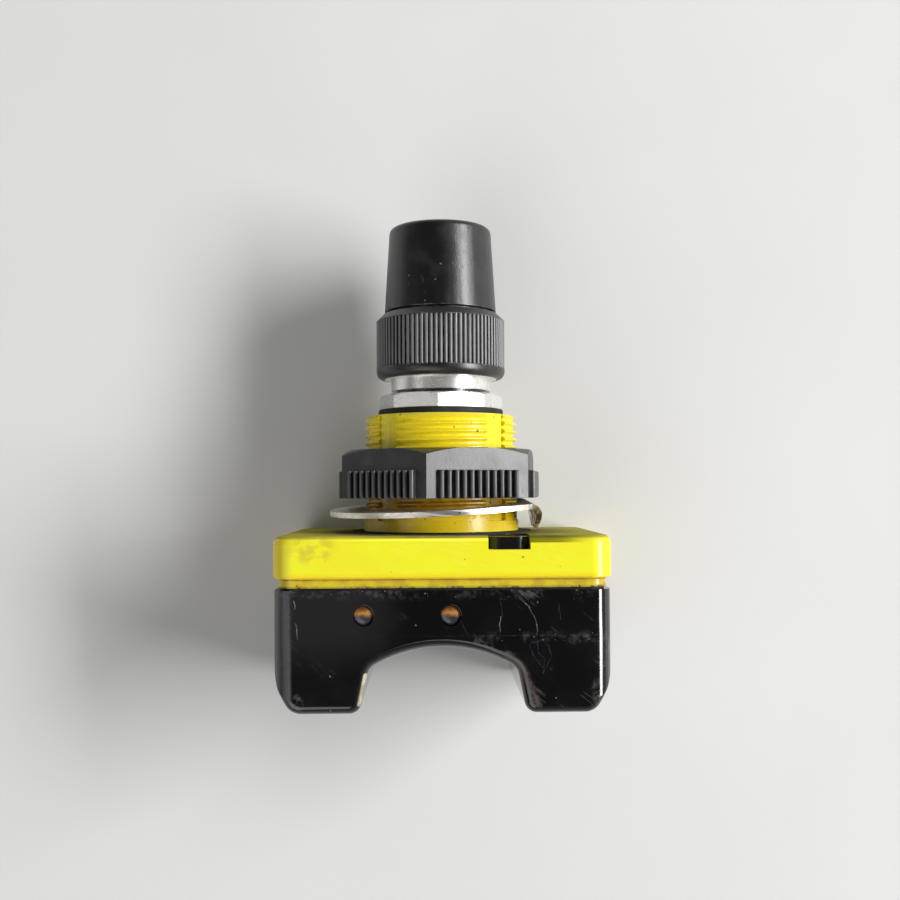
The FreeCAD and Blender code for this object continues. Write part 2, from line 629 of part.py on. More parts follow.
def receptacle_insert():
    """Insulator seated on the shell's inner shoulder."""
    body = rod(INSERT_RADIUS, INSERT_REAR_Y, INSERT_FACE_Y)
    head = rod(NOSE_BORE_RADIUS - SEAT_CLEARANCE, INSERT_SHOULDER_Y, INSERT_FACE_Y)
    holes = [rod(PIN_RADIUS + THREAD_CLEARANCE, INSERT_REAR_Y - CUT_MARGIN, INSERT_FACE_Y + CUT_MARGIN, x, z)
             for x, z in contact_places()]
    return body.fuse(head).cut(holes)


def contact_pins():
    """Pins with their solder cups behind the insulator."""
    pins = []
    for x, z in contact_places():
        pin = rod(PIN_RADIUS, INSERT_REAR_Y, INSERT_FACE_Y + PIN_REACH, x, z)
        pins.append(pin.fuse(rod(CUP_RADIUS, CUP_END_Y, INSERT_REAR_Y, x, z)))
    return Part.makeCompound(pins)


def lead_wire(number):
    """Straight lead from the main board up the stem to a solder cup."""
    x, z = contact_places()[number]
    return rod(WIRE_RADIUS, BOARD_TOP_Y, CUP_END_Y, x, z)


# Plug

def coupling_nut():
    """Ribbed nut, threaded on the nose and held by its lip behind the plug's flange."""
    root_radius = COUPLING_RADIUS - RIB_DEPTH
    core_radius = root_radius - RIB_DEPTH
    rib_start = NOSE_Y + COUPLING_MOUTH_BAND
    rib_end = COUPLING_END_Y - COUPLING_END_BEVEL
    thread_radius = NOSE_RADIUS + THREAD_CLEARANCE
    mouth = end_round(COUPLING_RADIUS, NOSE_Y, COUPLING_MOUTH_ROUND, 1)
    body = lathe([
        (thread_radius, NOSE_Y),
        *reversed(mouth),
        (COUPLING_RADIUS, rib_start),
        (core_radius, rib_start),
        (core_radius, rib_end),
        (COUPLING_RADIUS, rib_end),
        (COUPLING_RADIUS - COUPLING_END_BEVEL, COUPLING_END_Y),
        (PLUG_NECK_RADIUS + MOTION_CLEARANCE, COUPLING_END_Y),
        (PLUG_NECK_RADIUS + MOTION_CLEARANCE, COUPLING_LIP_Y),
        (thread_radius, COUPLING_LIP_Y),
    ])
    return body.fuse(coupling_ribs(root_radius, core_radius, rib_start, rib_end))


def coupling_ribs(root_radius, core_radius, low_y, high_y):
    """Ring of ribs with flat crests and sloping sides."""
    pitch = 2 * math.pi / RIB_COUNT
    corners = []
    for n in range(RIB_COUNT):
        for share, radius in (
            (-RIB_ROOT_SHARE - RIB_CREST_SHARE / 2, root_radius),
            (-RIB_CREST_SHARE / 2, COUPLING_RADIUS),
            (RIB_CREST_SHARE / 2, COUPLING_RADIUS),
            (RIB_ROOT_SHARE + RIB_CREST_SHARE / 2, root_radius),
        ):
            angle = pitch * (n + share)
            corners.append(Vector(radius * math.sin(angle), low_y, radius * math.cos(angle)))
    outline = Part.makePolygon(corners + corners[:1])
    star = Part.Face(outline).extrude(Vector(0, high_y - low_y, 0))
    return star.cut(rod(core_radius, low_y - CUT_MARGIN, high_y + CUT_MARGIN))


def plug_body():
    """Tapered plug with a closed end, and the neck and flange that hold the coupling nut."""
    core_radius = NOSE_BORE_RADIUS
    flange_radius = NOSE_RADIUS - SEAT_CLEARANCE
    return lathe([
        (core_radius, PLUG_FACE_Y),
        (flange_radius, PLUG_FACE_Y),
        (flange_radius, PLUG_FACE_Y + PLUG_FLANGE),
        (PLUG_NECK_RADIUS, PLUG_FACE_Y + PLUG_FLANGE),
        (PLUG_NECK_RADIUS, PLUG_Y),
        (PLUG_RADIUS, PLUG_Y),
        *end_round(PLUG_END_RADIUS, PLUG_END_Y, PLUG_END_ROUND, -1),
        (0, PLUG_END_Y),
        (0, PLUG_CORE_END_Y),
        (core_radius, PLUG_CORE_END_Y),
    ])


def plug_insert():
    """Insulator that fills the plug and reaches into the receptacle."""
    body = rod(NOSE_BORE_RADIUS - MOTION_CLEARANCE, PLUG_INSERT_FACE_Y, PLUG_CORE_END_Y)
    holes = [rod(SOCKET_RADIUS + THREAD_CLEARANCE, PLUG_INSERT_FACE_Y - CUT_MARGIN, socket_end_y(), x, z)
             for x, z in contact_places()]
    return body.cut(holes)


def socket_end_y():
    return PLUG_INSERT_FACE_Y + SOCKET_SETBACK + SOCKET_LENGTH


def plug_sockets():
    """Tubes in the plug that the pins slide into."""
    sockets = []
    start_y = PLUG_INSERT_FACE_Y + SOCKET_SETBACK
    bottom_y = INSERT_FACE_Y + PIN_REACH + CUT_MARGIN
    for x, z in contact_places():
        bore = rod(PIN_RADIUS + THREAD_CLEARANCE, start_y - CUT_MARGIN, bottom_y, x, z)
        sockets.append(rod(SOCKET_RADIUS, start_y, socket_end_y(), x, z).cut(bore))
    return Part.makeCompound(sockets)


def plug_seal():
    """Ring between the receptacle's nose and the plug's face."""
    return ring(NOSE_RADIUS - NOSE_CHAMFER, NOSE_BORE_RADIUS, NOSE_END_Y, PLUG_FACE_Y)


# Mounting hardware

def mounting_nut():
    """Hexagon nut with bevelled corners and grip ribs on the half of each flat next to the panel."""
    top_y = NUT_SEAT + NUT_HEIGHT
    body = spanner_bar(HEX_SIDES, NUT_ACROSS_FLATS, NUT_TURN, NUT_SEAT, top_y, NUT_CORNER_CUT)
    bore = rod(STEM_RADIUS + THREAD_CLEARANCE, NUT_SEAT - CUT_MARGIN, top_y + CUT_MARGIN)
    return body.cut(bore).fuse(nut_ribs()).removeSplitter()


def nut_ribs():
    """Comb of ribs on each flat, down to the end next to the panel."""
    ribs = []
    flat_z = NUT_ACROSS_FLATS / 2
    step = FULL_TURN / HEX_SIDES
    first_flat = NUT_TURN + step / 2
    for flat in range(HEX_SIDES):
        for n in range(NUT_RIB_COUNT):
            x = NUT_RIB_PITCH * (n - (NUT_RIB_COUNT - 1) / 2)
            bar = block(NUT_RIB_WIDTH, 2 * NUT_RIB_PROUD, NUT_SEAT, NUT_SEAT + NUT_RIB_HEIGHT, x, flat_z)
            ribs.append(turned(bar, first_flat + step * flat))
    return ribs


def lock_washer():
    """Washer with a bent tab outside and a tongue that slides in a flute, leaning on the stem."""
    half = WASHER_THICKNESS / 2
    disc = ring(WASHER_RADIUS, WASHER_BORE_RADIUS, -half, half)
    tongue_tip = FLUTE_ROOT_RADIUS + TONGUE_TIP_GAP
    tongue_reach = WASHER_BORE_RADIUS + CUT_MARGIN - tongue_tip
    tongue_width = FLUTE_WIDTH - 2 * TONGUE_SIDE_GAP
    tongue = block(tongue_width, tongue_reach, -half, half, 0.0, tongue_tip + tongue_reach / 2)
    bend_z = TAB_FACE - TAB_BEND - half
    beyond = block(2 * WASHER_RADIUS, WASHER_RADIUS, -WASHER_THICKNESS, WASHER_THICKNESS,
                   0.0, bend_z + WASHER_RADIUS / 2)
    disc = disc.cut(turned(beyond, TAB_ANGLE))
    washer = disc.fuse([turned(tongue, TONGUE_ANGLE), turned(washer_tab(), TAB_ANGLE)]).removeSplitter()
    washer.rotate(ORIGIN, Vector(0, 0, 1), WASHER_LEAN_SIDEWAYS)
    washer.rotate(ORIGIN, Vector(1, 0, 0), WASHER_LEAN_FORWARD)
    washer.translate(Vector(0, WASHER_MIDDLE, 0))
    return washer


def washer_tab():
    """Strip that leaves the washer's edge and turns down towards the base."""
    half = WASHER_THICKNESS / 2
    bend_z = TAB_FACE - TAB_BEND - half
    inner_z = bend_z - TAB_ROOT
    outer = TAB_BEND + half
    inner = TAB_BEND - half
    bend_y = -TAB_BEND
    slant = math.sin(math.pi / 4)
    flat_top = Part.makeLine(Vector(0, half, inner_z), Vector(0, half, bend_z))
    outer_bend = Part.Arc(Vector(0, half, bend_z),
                          Vector(0, bend_y + outer * slant, bend_z + outer * slant),
                          Vector(0, bend_y, bend_z + outer)).toShape()
    outside = Part.makeLine(Vector(0, bend_y, bend_z + outer), Vector(0, -TAB_HEIGHT, bend_z + outer))
    tip = Part.makeLine(Vector(0, -TAB_HEIGHT, bend_z + outer), Vector(0, -TAB_HEIGHT, bend_z + inner))
    inside = Part.makeLine(Vector(0, -TAB_HEIGHT, bend_z + inner), Vector(0, bend_y, bend_z + inner))
    inner_bend = Part.Arc(Vector(0, bend_y, bend_z + inner),
                          Vector(0, bend_y + inner * slant, bend_z + inner * slant),
                          Vector(0, -half, bend_z)).toShape()
    flat_under = Part.makeLine(Vector(0, -half, bend_z), Vector(0, -half, inner_z))
    root = Part.makeLine(Vector(0, -half, inner_z), Vector(0, half, inner_z))
    outline = Part.Wire([flat_top, outer_bend, outside, tip, inside, inner_bend, flat_under, root])
    strip = Part.Face(outline).extrude(Vector(TAB_WIDTH, 0, 0))
    strip.translate(Vector(-TAB_WIDTH / 2, 0, 0))
    return strip


WIRES = ("wire_brown", "wire_white", "wire_blue", "wire_black", "wire_grey")

parts = {
    "base_housing": base_housing(),
    "upper_housing": upper_housing(),
    "housing_seal": housing_seal(),
    "panel_gasket": panel_gasket(),
    "lock_washer": lock_washer(),
    "mounting_nut": mounting_nut(),
    "receptacle_shell": receptacle_shell(),
    "receptacle_gasket": receptacle_gasket(),
    "receptacle_insert": receptacle_insert(),
    "contact_pins": contact_pins(),
    "plug_body": plug_body(),
    "coupling_nut": coupling_nut(),
    "plug_insert": plug_insert(),
    "plug_sockets": plug_sockets(),
    "plug_seal": plug_seal(),
    "control_board": control_board(),
    "emitter_board": tower_board(-1),
    "receiver_board": tower_board(1),
    "beam_emitter": beam_part(-1),
    "beam_receiver": beam_part(1),
    "power_led": indicator_led(POWER_LED_X),
    "output_led": indicator_led(OUTPUT_LED_X),
    "led_holders": led_holders(),
    "controller_chips": board_pair(CHIP_SIZE, -1),
    "output_switches": board_pair(SWITCH_SIZE, 1),
    "smoothing_capacitor": smoothing_capacitor(),
    "potting_compound": potting_compound(),
}
for number, name in enumerate(WIRES):
    parts[name] = lead_wire(number)

os.makedirs("parts", exist_ok=True)
for name, shape in parts.items():
    print(name, len(shape.Solids), shape.isValid(), round(shape.Volume, 1))
    shape.exportStep(f"parts/{name}.step")
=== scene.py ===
import json
import math

import bmesh
import bpy
from mathutils import Matrix, Vector


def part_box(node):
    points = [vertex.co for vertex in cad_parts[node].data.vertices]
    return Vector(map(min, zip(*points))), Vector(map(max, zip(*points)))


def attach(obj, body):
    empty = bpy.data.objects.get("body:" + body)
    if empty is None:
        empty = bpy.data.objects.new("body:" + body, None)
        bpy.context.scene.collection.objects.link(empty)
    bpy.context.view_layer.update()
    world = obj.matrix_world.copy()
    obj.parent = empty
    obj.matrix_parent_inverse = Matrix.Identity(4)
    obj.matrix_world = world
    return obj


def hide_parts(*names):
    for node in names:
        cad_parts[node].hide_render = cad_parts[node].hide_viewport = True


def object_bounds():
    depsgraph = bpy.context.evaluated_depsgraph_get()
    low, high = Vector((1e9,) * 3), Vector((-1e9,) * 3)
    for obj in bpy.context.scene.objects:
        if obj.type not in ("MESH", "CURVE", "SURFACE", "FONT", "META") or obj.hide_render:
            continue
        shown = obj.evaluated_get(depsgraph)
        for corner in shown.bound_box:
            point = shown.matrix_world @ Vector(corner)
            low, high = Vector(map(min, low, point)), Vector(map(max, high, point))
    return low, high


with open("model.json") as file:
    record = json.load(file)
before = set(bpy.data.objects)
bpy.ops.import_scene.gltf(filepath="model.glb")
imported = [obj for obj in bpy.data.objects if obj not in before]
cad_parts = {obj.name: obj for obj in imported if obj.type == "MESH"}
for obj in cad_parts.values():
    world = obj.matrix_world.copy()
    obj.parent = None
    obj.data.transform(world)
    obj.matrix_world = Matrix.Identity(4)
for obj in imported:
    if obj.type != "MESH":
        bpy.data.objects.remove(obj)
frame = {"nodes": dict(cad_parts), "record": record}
cad_low, cad_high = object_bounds()

# Looks of the touch button, in metres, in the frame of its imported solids.
MM = 0.001
MM_PER_METRE = 1000.0
UP = Vector((0, 0, 1))
STEM_AXIS = Vector((0, 1, 0))

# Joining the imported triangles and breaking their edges
MERGE_DISTANCE = 0.001 * MM
SAME_PLACE = 0.0002 * MM
FLAT_ANGLE = math.radians(0.5)
SHARP_ANGLE = math.radians(28)
BEVEL_SEGMENTS = 2
SORT_LINE = Vector((1.0, 0.618, 0.267))

# Stem thread
THREAD_PITCH = 1.5 * MM
THREAD_START = 3.4 * MM
THREAD_CREST_RADIUS = 14.95 * MM
THREAD_ROOT_RADIUS = 14.16 * MM
THREAD_OVERSHOOT = 0.05 * MM
THREAD_GROOVE_MOUTH = 1.36 * MM
THREAD_GROOVE_FLOOR = 0.35 * MM
THREAD_STEPS_PER_TURN = 72

# Lines that finishes follow, as places along the stem's axis in millimetres
CREASE_DUST_LINE = -18.4
CREASE_LINE = -18.0
LED_LINE = -14.4
TOP_EDGE_LINE = -10.1
LIP_SEAM_LINE = -9.6
LIP_MIDDLE_LINE = -8.9
LIP_GROOVE_LINE = -8.0
BAND_FOOT_LINE = -7.95
NOTCH_LINE = -2.0
SEAT_LINE = -0.3
WASHER_DIRT_LINE = 4.0
UNDER_NUT_LINE = 5.8
NECK_GROOVE_LINE = 26.85
COUPLING_RIB_LINE = 36.4

# Upper housing's front and back fall away below the crease
CREASE_Y = CREASE_LINE * MM
CREASE_FALL = math.tan(math.radians(1.6))

# Marks on the polished front, as places across and along it in millimetres; some of the scratch lines are
# painted glints, and one line on the gap's edge is a painted highlight
GLOSS_SCRATCHES_AND_GLINTS = [
    [(13.6, -11.4), (15.4, -13.0), (16.3, -15.1), (16.7, -17.9)],
    [(10.2, -14.6), (10.1, -17.2)],
    [(-26.2, -11.8), (-26.0, -13.2)],
    [(-26.0, -15.6), (-25.7, -18.4)],
]
GLOSS_HAIRS = [
    [(10.4, -11.6), (10.2, -18.0)],
    [(2.6, -14.2), (4.1, -17.4)],
    [(20.5, -12.2), (20.9, -15.2)],
    [(15.6, -19.4), (17.4, -18.7), (19.0, -20.1), (19.3, -21.5), (18.5, -23.3), (17.6, -24.7)],
    [(16.7, -19.0), (17.0, -21.2), (18.1, -22.2), (17.7, -24.4)],
    [(15.3, -19.7), (16.3, -21.9), (17.4, -23.3)],
]
GAP_EDGE_DUST = [(5.8, -18.8), (9.5, -19.9), (12.4, -21.6)]
GAP_EDGE_SCUFF = [(11.4, -21.3), (13.8, -23.3), (15.3, -26.8), (16.9, -30.2)]
GAP_EDGE_HIGHLIGHT = [(-13.8, -24.9), (-14.9, -30.1)]

# Mounting nut
NUT_FLATS = 6
NUT_FLAT_TURN = 60.0
NUT_FIRST_FLAT = 22.0
NUT_RIB_FACE = 18.5 * MM
NUT_RIB_BEVEL = 0.3 * MM
NUT_EDGE_BREAK = 0.15 * MM

# Coupling and its plug
COUPLING_RIB_FACE = 12.5 * MM
COUPLING_RIB_BEVEL = 0.17 * MM
COUPLING_EDGE_BREAK = 0.07 * MM
PLUG_EDGE_BREAK = 0.15 * MM

# Receptacle and gaskets
SHELL_EDGE_BREAK = 0.2 * MM
SEAT_GASKET_EDGE_BREAK = 0.15 * MM
FLANGE_GASKET_EDGE_BREAK = 0.2 * MM

# Lock washer, flat before its edge is bent down and before it leans on the stem
WASHER_BORE = 15.5 * MM
WASHER_RADIUS = 21.9 * MM
WASHER_THICKNESS = 1.0 * MM
WASHER_STEPS = 144
WASHER_EDGE_BREAK = 0.16 * MM
WASHER_BEND_X = 16.3 * MM
WASHER_BEND_RADIUS = 2.1 * MM
WASHER_BEND_STEP = 0.3 * MM
WASHER_TAB_WIDTH = 9.0 * MM
WASHER_TAB_END = 22.2 * MM
WASHER_TONGUE_WIDTH = 4.0 * MM
WASHER_TONGUE_TIP = 14.5 * MM
WASHER_TONGUE_TURN = math.radians(135.0)
WASHER_LEAN_SIDEWAYS = math.radians(2.6)
WASHER_LEAN_FORWARD = math.radians(2.2)
WASHER_MIDDLE = 4.45 * MM

# Indicators
LED_SEGMENTS = 48
LED_RINGS = 24
LED_FLATNESS = 0.3
LED_COLLAR = 0.15 * MM
LED_COLLAR_HEIGHT = 0.8 * MM
LED_HOLE_REACH = 2.2 * MM
LED_HOLE_BEVEL = 0.15 * MM

# Colours and grain that finishes share
BLACK = (0.022, 0.022, 0.023, 1)
PALE_WEAR_AND_SHEEN = (0.22, 0.215, 0.225, 1)
STRAIGHT = (0.06, 1.0, 0.35)
TURNING_MARKS = 42.0

# Camera, light and floor
OBJECT_MIDDLE = Vector((0, 10, 0)) * MM
FOCAL_PIXELS = 1100.0
IMAGE_PIXELS = 900.0
SENSOR_WIDTH = 36.0
CAMERA_PLACE = Vector((-1.83, 7.85, 217.9)) * MM
CAMERA_TURN = [math.radians(angle) for angle in (2.08, -0.94, -0.3)]
CAMERA_NEAR = 0.01
FLOOR_RADIUS = 2.2
FLOOR_SEGMENTS = 96
FLOOR_SHADE = (0.70, 0.70, 0.69, 1)
FLOOR_LIGHT = (0.76, 0.76, 0.75, 1)
OVERHEAD_LIGHT = 0.055
HORIZON_LIGHT = 0.42
DIM_SIDE = 0.28
DIM_SIDE_FROM = -0.9
DIM_SIDE_TO = 0.5
HORIZON_BAND = 0.6
HORIZON_BAND_FULL = 0.05
HORIZON_BAND_FADE = 0.1
HORIZON_TOP = 0.25
OVERHEAD_FROM = 0.9

nodes = frame["nodes"]
record = frame["record"]
node_body = {node: body for body, members in record["behaviour"]["bodies"].items() for node in members}
node_slot = {row["node"]: row["material_slot"] for row in record["subparts"]}


# Node helpers

def put(tree, kind, inputs=None, **settings):
    """Adds a node, sets its options, and fills its inputs with values or links."""
    made = tree.nodes.new(kind)
    for name, value in settings.items():
        setattr(made, name, value)
    for key, value in (inputs or {}).items():
        if isinstance(value, bpy.types.NodeSocket):
            tree.links.new(value, made.inputs[key])
        else:
            made.inputs[key].default_value = value
    return made


def maths(tree, operation, first, second=0.0, clamp=False):
    return put(tree, "ShaderNodeMath", {0: first, 1: second}, operation=operation, use_clamp=clamp).outputs[0]


def vector_maths(tree, operation, inputs):
    return put(tree, "ShaderNodeVectorMath", inputs, operation=operation).outputs


def ramp(tree, value, low, high):
    """Smooth step from nought at low to one at high."""
    inputs = {"Value": value, "From Min": low, "From Max": high}
    return put(tree, "ShaderNodeMapRange", inputs, interpolation_type="SMOOTHSTEP").outputs["Result"]


def near(tree, value, middle, full, fade):
    """One within full of the middle, fading to nought over fade."""
    away = maths(tree, "ABSOLUTE", maths(tree, "SUBTRACT", value, middle))
    return ramp(tree, away, full + fade, full)


def times(tree, *masks):
    """Product of masks and numbers."""
    product = masks[0]
    for mask in masks[1:]:
        product = maths(tree, "MULTIPLY", product, mask)
    return product


def most(tree, *masks):
    """Largest of several masks."""
    largest = masks[0]
    for mask in masks[1:]:
        largest = maths(tree, "MAXIMUM", largest, mask)
    return largest


def blend(tree, share, first, second):
    """Colour between two colours."""
    return put(tree, "ShaderNodeMix", {0: share, 6: first, 7: second}, data_type="RGBA").outputs[2]


def level(tree, share, first, second):
    """Number between two numbers."""
    inputs = {"Value": share, "To Min": first, "To Max": second}
    return put(tree, "ShaderNodeMapRange", inputs).outputs["Result"]


def noise(tree, place, size, detail=2.0, roughness=0.5):
    """Cloudy value whose features are about this many millimetres across."""
    inputs = {"Vector": place, "Scale": 1.0 / size, "Detail": detail, "Roughness": roughness}
    return put(tree, "ShaderNodeTexNoise", inputs).outputs["Fac"]


# Shared effects

VECTOR = "NodeSocketVector"
NUMBER = "NodeSocketFloat"


def start_effect(name, **inputs):
    """Node group with these inputs, which puts out a mask."""
    tree = bpy.data.node_groups.new(name, "ShaderNodeTree")
    for socket, kind in inputs.items():
        tree.interface.new_socket(name=socket, in_out="INPUT", socket_type=kind)
    tree.interface.new_socket(name="Mask", in_out="OUTPUT", socket_type=NUMBER)
    return tree, tree.nodes.new("NodeGroupInput").outputs, tree.nodes.new("NodeGroupOutput").inputs["Mask"]


def sized_noise(tree, place, size, detail):
    scale = maths(tree, "DIVIDE", 1.0, size)
    inputs = {"Vector": place, "Scale": scale, "Detail": detail}
    return put(tree, "ShaderNodeTexNoise", inputs).outputs["Fac"]


def make_blotches():
    """Patches of stain or fade."""
    tree, given, result = start_effect("blotches", Place=VECTOR, Size=NUMBER, From=NUMBER, To=NUMBER)
    cloud = sized_noise(tree, given["Place"], given["Size"], 5.0)
    tree.links.new(ramp(tree, cloud, given["From"], given["To"]), result)
    return tree


def make_specks():
    """Scattered dots of dirt or dust: this share of the cells of this size hold one."""
    tree, given, result = start_effect("specks", Place=VECTOR, Size=NUMBER, Cover=NUMBER)
    ragged = noise(tree, given["Place"], size=0.25, detail=1.0)
    scale = maths(tree, "DIVIDE", 1.0, given["Size"])
    cells = put(tree, "ShaderNodeTexVoronoi", {"Vector": given["Place"], "Scale": scale}).outputs
    chance, width, _ = put(tree, "ShaderNodeSeparateColor", {0: cells["Color"]}).outputs
    held = maths(tree, "LESS_THAN", chance, given["Cover"])
    radius = times(tree, level(tree, times(tree, width, width), 0.06, 0.3), level(tree, ragged, 0.4, 1.6))
    dot = ramp(tree, maths(tree, "SUBTRACT", radius, cells["Distance"]), 0.0, 0.05)
    tree.links.new(times(tree, held, dot), result)
    return tree


def make_hairlines():
    """Fine scratch lines in broken patches, drawn out by the stretch after a turn about the face's normal."""
    tree, given, result = start_effect("hairlines", Place=VECTOR, Turn=NUMBER, Stretch=VECTOR, Spacing=NUMBER,
                                       Width=NUMBER, Cover=NUMBER)
    turned = put(tree, "ShaderNodeVectorRotate", {"Vector": given["Place"], "Angle": given["Turn"]},
                 rotation_type="Z_AXIS").outputs[0]
    drawn_out = vector_maths(tree, "MULTIPLY", {0: turned, 1: given["Stretch"]})[0]
    lines = sized_noise(tree, drawn_out, given["Spacing"], 1.5)
    off_line = maths(tree, "ABSOLUTE", maths(tree, "SUBTRACT", lines, 0.5))
    thin = ramp(tree, off_line, given["Width"], 0.0)
    broken = noise(tree, given["Place"], size=4.0, detail=3.0)
    limit = maths(tree, "SUBTRACT", 1.0, given["Cover"])
    shown = ramp(tree, maths(tree, "SUBTRACT", broken, limit), 0.0, 0.12)
    tree.links.new(times(tree, thin, shown), result)
    return tree


def make_worn_edges():
    """Rubbed corners, found where a rounded normal leaves the true one."""
    tree, given, result = start_effect("worn_edges", Place=VECTOR, Reach=NUMBER, Cover=NUMBER)
    rounded = put(tree, "ShaderNodeBevel", {"Radius": given["Reach"]}, samples=4).outputs["Normal"]
    true_normal = put(tree, "ShaderNodeNewGeometry").outputs["Normal"]
    agree = vector_maths(tree, "DOT_PRODUCT", {0: rounded, 1: true_normal})["Value"]
    edge = ramp(tree, agree, 0.995, 0.9)
    ragged = noise(tree, given["Place"], size=1.6, detail=5.0)
    limit = maths(tree, "SUBTRACT", 1.0, given["Cover"])
    shown = ramp(tree, maths(tree, "SUBTRACT", ragged, limit), 0.0, 0.2)
    tree.links.new(times(tree, edge, shown), result)
    return tree


BLOTCHES = make_blotches()
SPECKS = make_specks()
HAIRLINES = make_hairlines()
WORN_EDGES = make_worn_edges()


def effect(tree, group, **inputs):
    return put(tree, "ShaderNodeGroup", inputs, node_tree=group).outputs["Mask"]


def blotches(tree, place, size, low, high):
    return effect(tree, BLOTCHES, Place=place, Size=size, From=low, To=high)


def specks(tree, place, size, cover):
    return effect(tree, SPECKS, Place=place, Size=size, Cover=cover)


def hairlines(tree, place, turn, spacing, width, cover):
    return effect(tree, HAIRLINES, Place=place, Turn=turn, Stretch=STRAIGHT, Spacing=spacing, Width=width,
                  Cover=cover)


def worn_edges(tree, place, reach, cover):
    return effect(tree, WORN_EDGES, Place=place, Reach=reach, Cover=cover)


# Finishes

def start_finish(slot, **sockets):
    """Material of a slot with its even values set, and the place on the part in millimetres."""
    material = bpy.data.materials.new(slot + "_finish")
    material.use_nodes = True
    tree = material.node_tree
    surface = tree.nodes["Principled BSDF"]
    for name, value in sockets.items():
        surface.inputs[name.replace("_", " ")].default_value = value
    metres = tree.nodes.new("ShaderNodeTexCoord").outputs["Object"]
    place = vector_maths(tree, "SCALE", {0: metres, "Scale": MM_PER_METRE})[0]
    return material, tree, surface, place


def end_finish(tree, surface, colour, roughness, height=None, depth=0.0):
    """Links colour, roughness and relief, the relief's depth in millimetres."""
    tree.links.new(colour, surface.inputs["Base Color"])
    tree.links.new(roughness, surface.inputs["Roughness"])
    if height is not None:
        inputs = {"Height": height, "Distance": depth * MM, "Strength": 1.0}
        relief = put(tree, "ShaderNodeBump", inputs).outputs["Normal"]
        tree.links.new(relief, surface.inputs["Normal"])


def split(tree, place):
    return put(tree, "ShaderNodeSeparateXYZ", {0: place}).outputs


def from_axis(tree, x, z):
    """Distance from the stem's axis."""
    return maths(tree, "SQRT", maths(tree, "ADD", times(tree, x, x), times(tree, z, z)))


def patch(tree, x, y, middle, reach):
    """Soft oval patch about a place on the front."""
    across = maths(tree, "DIVIDE", maths(tree, "SUBTRACT", x, middle[0]), reach[0])
    along = maths(tree, "DIVIDE", maths(tree, "SUBTRACT", y, middle[1]), reach[1])
    away = maths(tree, "ADD", times(tree, across, across), times(tree, along, along))
    return ramp(tree, away, 1.0, 0.15)


def stain(tree, colour, share, mask, stain_colour):
    """Colour with a stain laid over it, at this share of its strength."""
    return blend(tree, times(tree, mask, share), colour, stain_colour)


